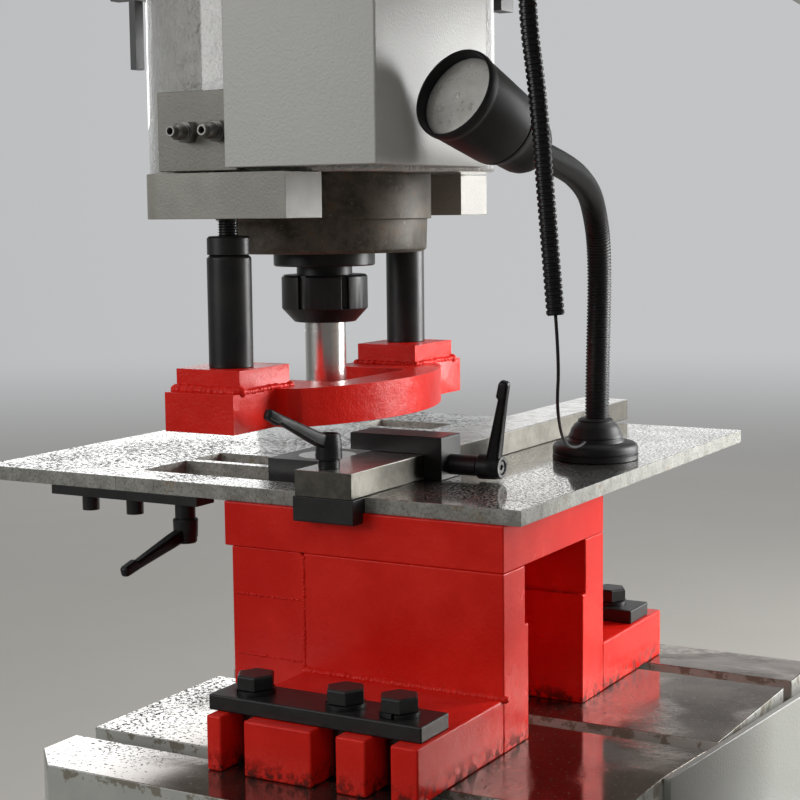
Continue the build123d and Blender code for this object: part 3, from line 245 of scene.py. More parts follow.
def cutPaint(name="cutPaint", tint=(0.27, 0.26, 0.225)):
    f = Finish(name)
    streaks = f.noise(60, 4, 0.65, f.stretched((1, 1, 0.35)))
    tone = f.noise(18, 3, 0.6)
    colour = f.mix(tone.above(0.5, 0.15), tint, tuple(c * 1.2 for c in tint))
    darkPatches = f.noise(120, 5, 0.75).above(0.66, 0.05) * 0.5
    colour = f.mix(darkPatches, colour, (0.12, 0.11, 0.09))
    normal = f.bump(f.noise(420, 3, 0.6), 0.0005, 0.8, f.bump(streaks, 0.0008, 0.5))
    return f.set(colour=colour, roughness=0.4, normal=normal)


def blackOxide():
    f = Finish("blackOxide")
    tone = f.noise(35, 4, 0.65)
    dust = f.noise(300, 4, 0.7).above(0.66, 0.05)
    colour = f.mix(tone.above(0.5, 0.2), (0.009, 0.009, 0.00945), (0.0162, 0.01575, 0.0153))
    colour = f.mix(dust * 0.2, colour, (0.10, 0.09, 0.08))
    normal = f.bump(f.noise(900, 2, 0.5), 0.00012, 0.6)
    return f.set(colour=colour, roughness=f.blendValue(tone, 0.28, 0.46), specular=0.35, normal=normal)


def dieCast():
    f = Finish("leverCoat")
    tone = f.noise(50, 3, 0.6)
    colour = f.mix(tone.above(0.5, 0.2), (0.007, 0.007, 0.008), (0.013, 0.013, 0.014))
    normal = f.bump(f.noise(1500, 2, 0.5), 0.00012, 0.7)
    return f.set(colour=colour, roughness=0.4, specular=0.3, normal=normal)


def glossRubber(name="conduitPlastic", gloss=0.24):
    f = Finish(name)
    tone = f.noise(60, 3, 0.6)
    colour = f.mix(tone, (0.006, 0.006, 0.007), (0.011, 0.011, 0.012))
    dust = f.noise(220, 4, 0.7).above(0.64, 0.06) * 0.15
    colour = f.mix(dust, colour, (0.09, 0.085, 0.08))
    return f.set(colour=colour, roughness=f.blendValue(tone, gloss, gloss + 0.15), specular=0.35)


def tableSteel():
    # Wiped with oil: nearly a mirror on top, strewn with fine swarf on the left, where the top also carries a
    # painted reflection of a bright window; scaly on the sawn sides.
    f = Finish("tableSteel")
    upward = f.facing("Z").above(0.6, 0.2)
    left = f.axis("X").below(-0.03, 0.09)
    patches = f.noise(9, 3, 0.6)
    swarf = f.noise(230, 3, 0.7)
    density = left * 0.115 + patches.above(0.5, 0.08) * left * 0.08
    specks = (swarf + density).above(0.70, 0.02) * upward
    film = f.noise(11, 4, 0.65, distortion=0.6).above(0.5, 0.1)
    # Painted reflection: the top's left end is coloured near white for a bright window mirrored in it; the
    # swarf specks there are real.
    top = f.mix(left, f.mix(film, (0.46, 0.45, 0.42), (0.34, 0.33, 0.305)), (0.82, 0.815, 0.79))
    pits = f.noise(330, 4, 0.75).above(0.58, 0.07)
    stains = f.noise(38, 4, 0.7).above(0.64, 0.04)
    side = f.mix(f.noise(60, 4, 0.7).above(0.5, 0.2), (0.20, 0.20, 0.175), (0.33, 0.33, 0.30))
    side = f.mix(pits * 0.75, side, (0.085, 0.08, 0.065))
    side = f.mix(stains * 0.6, side, (0.19, 0.13, 0.055))
    colour = f.mix(upward, side, top)
    colour = f.mix(specks, colour, (0.045, 0.042, 0.036))
    rough = f.blendValue(upward, 0.5, 0) + upward * f.blendValue(film, 0.03, 0.08) + specks * 0.4
    metal = f.blendValue(upward, 0.2, 0.97) * (1 - specks * 0.7)
    normal = f.bump(swarf, 0.0003, 0.1, f.bump(pits, 0.0005, 0.5))
    return f.set(colour=colour, roughness=rough.clamped(), metal=metal, normal=normal)


def bedSteel():
    # Planed top under brown oil, painted much brighter at the left as a painted reflection of a bright
    # window; painted sides with brown drips from the edge.
    f = Finish("bedSteel")
    upward = f.facing("Z").above(0.6, 0.2) * f.axis("Z").above(bedTop - 0.004, 0.001)
    left = f.axis("X").below(-0.03, 0.1)
    patches = f.noise(8, 3, 0.6)
    swarf = f.noise(240, 3, 0.7)
    specks = (swarf + left * 0.05 + patches.above(0.5, 0.06) * left * 0.09).above(0.65, 0.02) * upward
    scum = f.noise(90, 5, 0.7, distortion=1.2) * f.noise(7, 2, 0.5).above(0.52, 0.08)
    oil = f.mix(f.noise(12, 4, 0.65).above(0.5, 0.1), (0.27, 0.225, 0.185), (0.17, 0.135, 0.11))
    oil = f.mix(scum.above(0.5, 0.08), oil, (0.50, 0.46, 0.40))
    # Painted reflection: the top's left end is coloured near white for a bright window mirrored in it.
    top = f.mix(left, oil, (0.80, 0.79, 0.765))
    drips = (f.noise(45, 4, 0.7) - f.axis("Z").below(bedTop - 0.016, 0.014) * 0.25).above(0.52, 0.03)
    side = f.mix(f.noise(25, 4, 0.7).above(0.5, 0.2), (0.40, 0.405, 0.375), (0.45, 0.455, 0.42))
    side = f.mix(drips * 0.8, side, (0.16, 0.135, 0.09))
    colour = f.mix(upward, side, top)
    colour = f.mix(specks, colour, (0.035, 0.03, 0.024))
    topGloss = f.blendValue(patches, 0.05, 0.14) + scum * 0.25
    rough = f.blendValue(upward, 0.45, 0) + upward * topGloss + specks * 0.35
    metal = f.blendValue(upward, 0.05, 0.93) * (1 - specks * 0.6)
    normal = f.bump(scum, 0.0008, 0.5, f.bump(swarf, 0.0002, 0.08))
    return f.set(colour=colour, roughness=rough.clamped(), metal=metal, normal=normal)


def groundSteel(name="groundSteel", tint=(0.10, 0.094, 0.08)):
    f = Finish(name)
    upward = f.facing("Z").above(0.6, 0.2)
    grain = f.noise(30, 4, 0.7, f.stretched((40, 2, 40)))
    stains = f.noise(50, 5, 0.7)
    side = f.mix(stains.above(0.52, 0.15), tint, tuple(c * 0.62 for c in tint))
    top = f.mix(stains.above(0.55, 0.12), (0.74, 0.73, 0.70), (0.52, 0.50, 0.46))
    specks = f.noise(480, 4, 0.75).above(0.70, 0.03)
    colour = f.mix(upward, side, top)
    colour = f.mix(specks * 0.8, colour, (0.05, 0.045, 0.04))
    rough = f.blendValue(upward, 0.36, 0.16) + grain * 0.12 + specks * 0.25
    return f.set(colour=colour, roughness=rough, metal=0.92, normal=f.bump(grain, 0.0002, 0.3))


def oilyIron():
    f = Finish("oilyIron")
    blotch = f.noise(35, 5, 0.72)
    fine = f.noise(260, 4, 0.7)
    colour = f.mix(blotch.above(0.5, 0.18), (0.045, 0.037, 0.026), (0.135, 0.115, 0.09))
    colour = f.mix(fine.above(0.66, 0.04) * 0.7, colour, (0.30, 0.26, 0.21))
    rust = f.noise(70, 4, 0.7).above(0.63, 0.05)
    colour = f.mix(rust * 0.5, colour, (0.13, 0.055, 0.022))
    normal = f.bump(blotch, 0.0008, 0.5, f.bump(fine, 0.0003, 0.5))
    rough = f.blendValue(blotch, 0.4, 0.6)
    return f.set(colour=colour, roughness=rough, metal=0.25, specular=0.35, normal=normal)


def brightSteel():
    f = Finish("punchSteel")
    rings = f.noise(60, 3, 0.6, f.stretched((0.4, 0.4, 30)))
    tone = f.noise(40, 3, 0.6)
    colour = f.mix(tone, (0.78, 0.77, 0.74), (0.66, 0.645, 0.61))
    rough = f.blendValue(tone, 0.14, 0.22) + rings * 0.12
    return f.set(colour=colour, roughness=rough, metal=1.0, normal=f.bump(rings, 0.0001, 0.25))


def lampBlack():
    f = Finish("lampBlack")
    tone = f.noise(25, 3, 0.6)
    colour = f.mix(tone, (0.011, 0.011, 0.012), (0.02, 0.02, 0.021))
    grain = f.bump(f.noise(1200, 2, 0.5), 0.00012, 0.5)
    return f.set(colour=colour, roughness=f.blendValue(tone, 0.4, 0.54), specular=0.22, normal=grain)


def lensGlass():
    f = Finish("lensGlass")
    cloud = f.noise(28, 4, 0.65)
    dirt = f.noise(130, 5, 0.75).above(0.62, 0.05)
    colour = f.mix(cloud.above(0.5, 0.2), (0.80, 0.79, 0.75), (0.56, 0.55, 0.51))
    colour = f.mix(dirt * 0.45, colour, (0.14, 0.13, 0.11))
    rough = f.blendValue(cloud, 0.22, 0.34)
    return f.set(colour=colour, roughness=rough, metal=0.3, coat=0.8, coatRoughness=0.12)


def stopRed():
    f = Finish("stopRed")
    tone = f.noise(60, 3, 0.6)
    colour = f.mix(tone, (0.55, 0.012, 0.010), (0.62, 0.02, 0.015))
    return f.set(colour=colour, roughness=0.25, coat=0.3)


# By material slot, and below by node or piece where the slot alone won't do
finishes = {
    "grey_paint": greyPaint(),
    "bed_steel": bedSteel(),
    "red_paint": redPaint(),
    "black_oxide": blackOxide(),
    "machined_steel": tableSteel(),
    "turned_iron": oilyIron(),
    "hardened_steel": brightSteel(),
    "lamp_black": lampBlack(),
    "cable_black": glossRubber(),
    "seal_rubber": glossRubber("sealRubber", 0.5),
    "lens_glass": lensGlass(),
    "stop_red": stopRed(),
}
special = {
    "barrel": castPaint(),
    "ears": cutPaint(),
    "port_block": cutPaint("portPaint", (0.215, 0.206, 0.172)),
    "gauge_bar": groundSteel(),
    "nipples": groundSteel("nippleSteel", (0.2, 0.195, 0.185)),
    "lever": dieCast(),
    "wire": glossRubber("wirePlastic", 0.4),
    "neck": glossRubber("neckPlastic", 0.34),
    "rubberBoot": glossRubber("bootRubber", 0.42),
    "bed_skirt": greyPaint("skirtPaint", (0.27, 0.278, 0.255)),
}
print("materials made")

for nodeName, thing in frame["nodes"].items():
    coat = special.get(nodeName, finishes[slotOf[nodeName]])
    if not thing.material_slots:
        thing.data.materials.append(coat)
    for place in thing.material_slots:
        place.material = coat

mergeDistance = 1e-6  # corners closer than this become one


# Pieces
def addPiece(name, shape, coat, body, smoothAngle=35):
    bmesh.ops.recalc_face_normals(shape, faces=shape.faces)
    mesh = bpy.data.meshes.new(name)
    shape.to_mesh(mesh)
    shape.free()
    mesh.materials.append(coat)
    for polygon in mesh.polygons:
        polygon.use_smooth = True
    mesh.set_sharp_from_angle(angle=math.radians(smoothAngle))
    piece = bpy.data.objects.new(name, mesh)
    bpy.context.collection.objects.link(piece)
    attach(piece, body)
    return piece


rounding = {"segments": 2, "sharperThan": 28, "flatWithin": 0.6}  # angles in degrees


def softEdges(nodeName, width):
    # The node's own solid again, with the small round edges that paint and filing leave.
    source = frame["nodes"][nodeName]
    shape = bmesh.new()
    shape.from_mesh(source.data)
    bmesh.ops.remove_doubles(shape, verts=shape.verts, dist=mergeDistance)
    bmesh.ops.dissolve_limit(
        shape,
        angle_limit=math.radians(rounding["flatWithin"]),
        verts=shape.verts,
        edges=shape.edges,
        use_dissolve_boundaries=False,
    )
    coat = source.material_slots[0].material
    piece = addPiece(nodeName + "Body", shape, coat, bodyOf[nodeName])
    bevel = piece.modifiers.new("edges", "BEVEL")
    bevel.width = width
    bevel.segments = rounding["segments"]
    bevel.limit_method = "ANGLE"
    bevel.angle_limit = math.radians(rounding["sharperThan"])
    bevel.harden_normals = True
    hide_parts(nodeName)


edgeWidths = {
    "bolster_block": 0.0016,
    "bolster_top": 0.0016,
    "bolster_walls": 0.0016,
    "bolster_feet": 0.0022,
    "stripper": 0.0022,
    "ears": 0.0018,
    "cover_box": 0.0009,
    "clamp_bars": 0.0007,
    "table_plate": 0.0006,
    "table_strip": 0.0006,
    "table_extension": 0.0006,
    "cross_strip": 0.0004,
    "splice_bars": 0.0006,
    "gauge_bar": 0.0006,
    "gauge_head": 0.0005,
    "hook_block": 0.0006,
    "bed": 0.0012,
    "bed_skirt": 0.0012,
    "port_block": 0.0008,
    "die_holder": 0.0006,
    "clamp_bolts": 0.0004,
    "coupling_nut": 0.0006,
    "stripper_collars": 0.0005,
    "stripper_sleeves": 0.0008,
    "barrel": 0.0012,
    "gland": 0.0008,
    "cap": 0.0008,
    "motor": 0.0006,
    "pressure_pipe": 0.0004,
    "side_plates": 0.001,
    "nose_plate": 0.0008,
    "cabinet_door": 0.0008,
    "tank": 0.0008,
    "base_plate": 0.0012,
}
for nodeName, width in edgeWidths.items():
    softEdges(nodeName, width)
print("edges softened:", len(edgeWidths))


# Shapes from operators
def turned(profile, steps, place=None):
    # The profile holds pairs of radius and height and is spun about Z.
    shape = bmesh.new()
    corners = [shape.verts.new((radius, 0, height)) for radius, height in profile]
    chain = [shape.edges.new(pair) for pair in zip(corners, corners[1:])]
    bmesh.ops.spin(
        shape,
        geom=corners + chain,
        axis=(0, 0, 1),
        cent=(0, 0, 0),
        steps=steps,
        angle=math.tau,
        use_merge=True,
    )
    bmesh.ops.remove_doubles(shape, verts=shape.verts, dist=mergeDistance)
    if place is not None:
        bmesh.ops.transform(shape, matrix=place, verts=shape.verts)
    return shape


def joined(*shapes):
    whole = bmesh.new()
    for shape in shapes:
        mesh = bpy.data.meshes.new("part")
        shape.to_mesh(mesh)
        shape.free()
        whole.from_mesh(mesh)
        bpy.data.meshes.remove(mesh)
    return whole


def rounded(shape, edges, width, segments):
    bmesh.ops.bevel(
        shape,
        geom=edges,
        offset=width,
        segments=segments,
        profile=0.5,
        affect="EDGES",
        clamp_overlap=True,
        material=-1,
    )


def hexagonBar(flats, length, edge):
    # Stands on Z, with all its edges rounded.
    shape = bmesh.new()
    corner = flats / 2 / math.cos(math.pi / 6)
    bmesh.ops.create_cone(
        shape,
        cap_ends=True,
        segments=6,
        radius1=corner,
        radius2=corner,
        depth=length,
        matrix=Matrix.Translation((0, 0, length / 2)),
    )
    rounded(shape, shape.edges[:], edge, 2)
    return shape


def socketScrew(radius, low, high, socket):
    # Screw head with a hexagon socket as deep as its half width.
    shape = bmesh.new()
    top = Matrix.Translation((0, 0, high))
    outer = bmesh.ops.create_circle(shape, segments=24, radius=radius, matrix=top)
    inner = bmesh.ops.create_circle(shape, segments=6, radius=socket, matrix=top)
    rims = [[e for e in shape.edges if e.verts[0] in ring["verts"]] for ring in (outer, inner)]
    for rim, drop, closed in ((rims[0], low - high, False), (rims[1], -socket, True)):
        wall = bmesh.ops.extrude_edge_only(shape, edges=rim)["geom"]
        foot = [part for part in wall if isinstance(part, bmesh.types.BMVert)]
        bmesh.ops.translate(shape, vec=(0, 0, drop), verts=foot)
        if closed:
            edges = [part for part in wall if isinstance(part, bmesh.types.BMEdge)]
            ring = [e for e in edges if e.is_boundary and all(v in wall for v in e.verts)]
            bmesh.ops.edgeloop_fill(shape, edges=ring)
    bmesh.ops.bridge_loops(shape, edges=rims[0] + rims[1])
    return shape


def seatMatrix(origin, axis, arm):
    axis = Vector(axis).normalized()
    arm = Vector(arm).normalized()
    return Matrix.Translation(origin) @ Matrix((arm, axis.cross(arm), axis)).transposed().to_4x4()


def routeCurve(points):
    # The smooth curve that a cord's route points draw.
    curve = bpy.data.curves.new("route", "CURVE")
    curve.dimensions = "3D"
    curve.resolution_u = 24
    spline = curve.splines.new("NURBS")
    spline.points.add(len(points) - 1)
    for point, place in zip(spline.points, points):
        point.co = (*place, 1)
    spline.order_u = 3
    spline.use_endpoint_u = True
    return curve


def curveLine(curve):
    holder = bpy.data.objects.new("route", curve)
    mesh = bpy.data.meshes.new_from_object(holder)
    line = [vertex.co.copy() for vertex in mesh.vertices]
    bpy.data.objects.remove(holder)
    bpy.data.meshes.remove(mesh)
    return line


def routeLine(points):
    # The line alone, for a piece that is bent along it.
    curve = routeCurve(points)
    line = curveLine(curve)
    bpy.data.curves.remove(curve)
    return line


def lineLength(line):
    return sum((b - a).length for a, b in zip(line, line[1:]))


def bendAlong(shape, line):
    # Carries a straight shape that stands on Z along a line, each height at its own place on it.
    side = (line[1] - line[0]).orthogonal().normalized()
    frames = []
    gone = 0
    for before, after in zip(line, line[1:]):
        ahead = (after - before).normalized()
        side = (side - ahead * side.dot(ahead)).normalized()
        frames.append((gone, before, ahead, side))
        gone += (after - before).length
    starts = [row[0] for row in frames]
    for vertex in shape.verts:
        index = max(0, bisect.bisect_right(starts, vertex.co.z) - 1)
        start, place, ahead, side = frames[index]
        if index + 1 < len(frames):
            share = (vertex.co.z - start) / (starts[index + 1] - start)
            ahead = ahead.lerp(frames[index + 1][2], min(1, max(0, share))).normalized()
            side = (side - ahead * side.dot(ahead)).normalized()
        height = vertex.co.z - start
        vertex.co = place + frames[index][2] * height + side * vertex.co.x + ahead.cross(side) * vertex.co.y
    return shape


def ribbed(length, pitch, crest, root, crestShare):
    # Profile of a ribbed tube, closed at both ends; a flank starts in the gap and ends on the rib.
    ribs = round(length / pitch)
    step = length / ribs
    gap = step * (1 - crestShare) / 2
    flankFoot, flankHead = gap * 0.6, gap * 1.3
    profile = [(0, 0), (root, 0)]
    for index in range(ribs):
        low = index * step
        profile += [
            (root, low + flankFoot),
            (crest, low + flankHead),
            (crest, low + step - flankHead),
            (root, low + step - flankFoot),
        ]
    return profile + [(root, length), (0, length)]


# Clamping levers: a turned foot and hub with a socket screw, and a die-cast arm with a raised tip
lever = {
    "footRadius": 0.0105,
    "hubRadius": 0.013,
    "foot": 0.009,
    "barrel": 0.019,
    "top": 0.034,
    "screwRadius": 0.0062,
    "screwSocket": 0.0031,
    "armSink": 0.005,
    "armRound": 0.0026,
    # Along the arm: share of its length, width, thickness, and how far out its middle lies
    "armSections": (
        (0.05, 0.0130, 0.0135, 0.0),
        (0.25, 0.0122, 0.0128, 0.0),
        (0.55, 0.0104, 0.0106, 0.0004),
        (0.79, 0.0094, 0.0088, 0.0008),
        (0.815, 0.0098, 0.0112, -0.0004),
        (0.96, 0.0094, 0.0106, 0.0),
        (1.0, 0.0080, 0.0090, 0.0003),
    ),
}
leverSeats = {
    "lever_bar": {
        "origin": (0.072, -0.112, up(0.253)),
        "axis": (0, 0, 1),
        "turn": 258,
        "longFoot": 0,
        "reach": 0.082,
        "rise": 0.038,
    },
    "lever_head": {
        "origin": (0.131, 0.02725, up(0.242)),
        "axis": (1, 0, 0),
        "turn": 105.5,
        "longFoot": 0.024,
        "reach": 0.093,
        "rise": 0.026,
    },
    "lever_table": {
        "origin": (-0.113, -0.096, up(0.2025)),
        "axis": (0, 0, -1),
        "turn": 264.7,
        "longFoot": 0.007,
        "reach": 0.093,
        "rise": 0.026,
    },
}


def leverHub(foot, barrel, top):
    footRadius, hubRadius = lever["footRadius"], lever["hubRadius"]
    return turned(
        [
            (0, 0),
            (footRadius - 0.0006, 0),
            (footRadius, 0.0006),
            (footRadius, foot - 0.0016),
            (footRadius - 0.0008, foot - 0.0012),
            (footRadius - 0.0008, foot - 0.0004),
            (hubRadius - 0.0008, foot),
            (hubRadius, foot + 0.001),
            (hubRadius - 0.0003, foot + 0.010),
            (hubRadius - 0.0006, barrel - 0.0005),
            (hubRadius - 0.0010, barrel),
            (hubRadius - 0.0012, barrel + 0.0008),
            (hubRadius - 0.0015, top - 0.0016),
            (hubRadius - 0.0024, top - 0.0002),
            (hubRadius - 0.0034, top),
            (0.0078, top),
            (0.0071, top - 0.0008),
            (0.0069, top - 0.0035),
            (0, top - 0.0035),
        ],
        steps=44,
    )


def leverArm(reach, rise, start):
    # Grown along X from section to section, rounded, then tipped up to its slope.
    arm = bmesh.new()
    run = Vector((reach, 0, rise))
    made = bmesh.ops.create_grid(arm, x_segments=1, y_segments=1, size=0.5)["verts"]
    bmesh.ops.rotate(arm, verts=made, matrix=Matrix.Rotation(math.radians(90), 3, "Y"))
    oldWidth, oldThick = 1, 1
    at = Vector((0, 0, 0))
    face = arm.faces[:][0]
    for index, (share, width, thick, lift) in enumerate(lever["armSections"]):
        if index:
            grown = bmesh.ops.extrude_face_region(arm, geom=[face])["geom"]
            face = [part for part in grown if isinstance(part, bmesh.types.BMFace)][0]
        here = Vector((share * run.length, 0, lift))
        bmesh.ops.translate(arm, verts=face.verts, vec=here - at)
        growth = (1, width / oldWidth, thick / oldThick)
        bmesh.ops.scale(arm, verts=face.verts, vec=growth, space=Matrix.Translation(-here))
        oldWidth, oldThick = width, thick
        at = here

    def runsAlong(edge):
        return abs((edge.verts[0].co - edge.verts[1].co).normalized().x) > 0.5

    def atTip(edge):
        return min(v.co.x for v in edge.verts) > 0.99 * run.length

    rounded(arm, [e for e in arm.edges if runsAlong(e) or atTip(e)], lever["armRound"], 3)
    slope = Matrix.Translation((0, 0, start)) @ Matrix.Rotation(-math.atan2(run.z, run.x), 4, "Y")
    bmesh.ops.transform(arm, matrix=slope, verts=arm.verts)
    return arm


def leverShape(seat):
    foot = seat["longFoot"] + lever["foot"]
    barrel = foot + lever["barrel"]
    top = seat["longFoot"] + lever["top"]
    hub = leverHub(foot, barrel, top)
    screw = socketScrew(lever["screwRadius"], top - 0.0045, top - 0.0012, lever["screwSocket"])
    arm = leverArm(seat["reach"], seat["rise"], barrel - lever["armSink"])
    whole = joined(hub, screw, arm)
    axis = Vector(seat["axis"])
    lies = abs(axis.x) > 0.5
    zero = Vector((0, 1, 0)) if lies else Vector((1, 0, 0))
    armWay = Matrix.Rotation(math.radians(seat["turn"]), 3, "X" if lies else "Z") @ zero
    bmesh.ops.transform(whole, matrix=seatMatrix(seat["origin"], axis, armWay), verts=whole.verts)
    return whole


for nodeName, seat in leverSeats.items():
    shape = leverShape(seat)
    piece = addPiece(nodeName + "Cast", shape, special["lever"], bodyOf[nodeName], 40)
    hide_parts(nodeName)
print("levers made:", len(leverSeats))

# Conduit that hangs from the arm, ribbed, and the thin wire that leaves its open end for the lamp
conduit = {
    "route": (
        (0.296, -0.14, up(0.718)),
        (0.296, -0.14, up(0.668)),
        (0.307, -0.14, up(0.594)),
        (0.3145, -0.1405, up(0.505)),
        (0.3234, -0.141, up(0.407)),
    ),
    "radius": 0.008,
    "root": 0.0069,
    "wall": 0.0011,
    "boreDepth": 0.02,
    "pitch": 0.0055,
    "crestShare": 0.62,
}
conduitLine = routeLine(conduit["route"])
conduitLength = lineLength(conduitLine)
bore, boreEnd = conduit["root"] - conduit["wall"], conduitLength - conduit["boreDepth"]
ribs = ribbed(conduitLength, conduit["pitch"], conduit["radius"], conduit["root"], conduit["crestShare"])
sleeve = turned(ribs[1:-1] + [(bore, conduitLength), (bore, boreEnd), (0, boreEnd)], steps=28)
sleeve = bendAlong(sleeve, conduitLine)
conduitPiece = addPiece("conduitSleeve", sleeve, finishes["cable_black"], "frame", 50)
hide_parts("conduit")

wire = {
    "route": (
        (0.3234, -0.141, up(0.407)),
        (0.327, -0.1415, up(0.365)),
        (0.316, -0.122, up(0.328)),
        (0.299, -0.078, up(0.300)),
        (0.279, -0.024, up(0.280)),
        (0.259, 0.034, up(0.266)),
        (0.240, 0.092, up(0.257)),
        (0.221, 0.150, up(0.251)),
        (0.212, 0.178, up(0.250)),
    ),
    "radius": 0.0015,
}
wireCurve = routeCurve(wire["route"])
wireLine = curveLine(wireCurve)
wireCurve.bevel_depth = wire["radius"]
wireCurve.bevel_resolution = 4
wireCurve.use_fill_caps = True
wireCurve.materials.append(special["wire"])
wirePiece = bpy.data.objects.new("lampWire", wireCurve)
bpy.context.collection.objects.link(wirePiece)
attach(wirePiece, "frame")
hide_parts("lamp_wire")
round(lineLength(wireLine), 3)
print("conduit", round(conduitLength, 3), "m, wire", round(lineLength(wireLine), 3), "m")

# Work lamp: ribbed gooseneck, base with a boot, turned head with a domed lens
lamp = {
    "foot": (0.208, 0.217, up(0.2275)),
    "bootTop": 0.0445,
    "neckRadius": 0.013,
    "neckRoot": 0.0120,
    "neckPitch": 0.0036,
    "neckCrestShare": 0.55,
    "neckRoute": (
        (0.002, 0, 0),
        (0.002, 0, 0.040),
        (0, 0.013, 0.178),
        (0.005, -0.018, 0.232),
        (0.015, -0.066, 0.252),
        (0.032, -0.150, 0.268),
        (0.053, -0.264, 0.278),
    ),
    "headAxis": (-0.228, -0.885, 0.406),
    "lensRadius": 0.0384,
    "lensAt": 0.1125,
    "dome": 0.0042,
    # Foot, flange and boot, from the table up
    "baseProfile": (
        (0, 0),
        (0.0455, 0),
        (0.0465, 0.0008),
        (0.0465, 0.0058),
        (0.0454, 0.0064),
        (0.0454, 0.0074),
        (0.0463, 0.0082),
        (0.0463, 0.0130),
        (0.0450, 0.0160),
        (0.0420, 0.0180),
        (0.0360, 0.0186),
        (0.0312, 0.0188),
        (0.0305, 0.0210),
        (0.0296, 0.0218),
        (0.0290, 0.0232),
        (0.0296, 0.0240),
        (0.0292, 0.0262),
        (0.0280, 0.0274),
        (0.0262, 0.0330),
        (0.0230, 0.0378),
        (0.0196, 0.0402),
        (0.0190, 0.0412),
        (0.0192, 0.0424),
        (0.0178, 0.0436),
        (0.0160, 0.0445),
        (0, 0.0445),
    ),
    # From the neck to the rim and back inside to behind the lens
    "headProfile": (
        (0, 0),
        (0.0080, 0),
        (0.0110, 0.0004),
        (0.0190, 0.0038),
        (0.0240, 0.0080),
        (0.0270, 0.0130),
        (0.0288, 0.0190),
        (0.0298, 0.0290),
        (0.0303, 0.0390),
        (0.0325, 0.0440),
        (0.0350, 0.0485),
        (0.0360, 0.0510),
        (0.0362, 0.0525),
        (0.0354, 0.0532),
        (0.0354, 0.0542),
        (0.0366, 0.0550),
        (0.0370, 0.0560),
        (0.0392, 0.0860),
        (0.0408, 0.1100),
        (0.0408, 0.1125),
        (0.0416, 0.1140),
        (0.0420, 0.1165),
        (0.0420, 0.1205),
        (0.0412, 0.1232),
        (0.0402, 0.1240),
        (0.0394, 0.1234),
        (0.0388, 0.1190),
        (0.0385, 0.1120),
        (0.0350, 0.1120),
        (0.0335, 0.0580),
        (0, 0.0510),
    ),
}
lampBootTop = Vector(lamp["foot"]) + Vector((0, 0, lamp["bootTop"]))
neckLine = routeLine([tuple(lampBootTop + Vector(step)) for step in lamp["neckRoute"]])
neckRibs = ribbed(
    lineLength(neckLine), lamp["neckPitch"], lamp["neckRadius"], lamp["neckRoot"], lamp["neckCrestShare"]
)
neckShape = bendAlong(turned(neckRibs, steps=28), neckLine)
neck = addPiece("lampGooseneck", neckShape, special["neck"], "frame", 50)
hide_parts("lamp_neck")

baseShape = turned(lamp["baseProfile"], steps=64, place=Matrix.Translation(lamp["foot"]))
lampBase = addPiece("lampFoot", baseShape, special["rubberBoot"], "frame", 40)
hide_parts("lamp_base")

headAcross = Vector((1, 0, 0)).cross(Vector(lamp["headAxis"]))
headPlace = seatMatrix(neckLine[-1], lamp["headAxis"], headAcross)
headShape = turned(lamp["headProfile"], steps=72, place=headPlace)
lampHead = addPiece("lampHead", headShape, finishes["lamp_black"], "frame", 40)
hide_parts("lamp_shade")
lensAt, lensRadius, dome = lamp["lensAt"], lamp["lensRadius"], lamp["dome"]
lensBack, lensTop = lensAt - 0.0005, lensAt + dome
domeAngles = [math.radians(degrees) for degrees in range(90, 10, -8)]
lensProfile = [(0, lensBack), (lensRadius, lensBack)]
lensProfile += [(lensRadius * math.sin(angle), lensAt + dome * math.cos(angle)) for angle in domeAngles]
# A little button stands on the dome.
lensProfile += [
    (0.0030, lensAt + dome * 0.99),
    (0.0028, lensTop + 0.0006),
    (0.0016, lensTop + 0.0010),
    (0, lensTop + 0.0010),
]
lensShape = turned(lensProfile, steps=64, place=headPlace)
lens = addPiece("lampLens", lensShape, finishes["lens_glass"], "frame", 50)
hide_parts("lamp_lens")
print("lamp made")

# Punch, with a scribed ring round its shank
punchSizes = {
    "tip": up(0.300),
    "profile": (
        (0, 0),
        (0.0128, 0),
        (0.0130, 0.0002),
        (0.0130, 0.0100),
        (0.0210, 0.0180),
        (0.0210, 0.0765),
        (0.0206, 0.0768),
        (0.0206, 0.0774),
        (0.0210, 0.0777),
        (0.0210, 0.0978),
        (0.0260, 0.0980),
        (0.0260, 0.1080),
        (0.0255, 0.1100),
        (0, 0.1100),
    ),
}
punchShape = turned(punchSizes["profile"], steps=64, place=Matrix.Translation((0, 0, punchSizes["tip"])))
punch = addPiece("punchBody", punchShape, finishes["hardened_steel"], bodyOf["punch"], 35)
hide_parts("punch")

# Threaded legs of the stripper
legs = {"crest": 0.010, "root": 0.0088, "pitch": 0.0025, "crestShare": 0.2, "y": 0.168}
legLow, legHigh = (corner[2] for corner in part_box("stripper_studs"))
thread = ribbed(legHigh - legLow, legs["pitch"], legs["crest"], legs["root"], legs["crestShare"])
legFeet = [Matrix.Translation((0, side * legs["y"], legLow)) for side in (-1, 1)]
legShapes = [turned(thread, steps=32, place=foot) for foot in legFeet]
legBody = bodyOf["stripper_studs"]
studs = addPiece("stripperLegs", joined(*legShapes), finishes["black_oxide"], legBody, 25)
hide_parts("stripper_studs")

# Oil nipples on the port block
nipple = {
    "face": -0.185,
    "height": up(0.573),
    "places": (-0.029, 0.0065),
    "flats": 0.019,
    "hex": 0.010,
    "edge": 0.0007,
    "reach": 0.031,
}


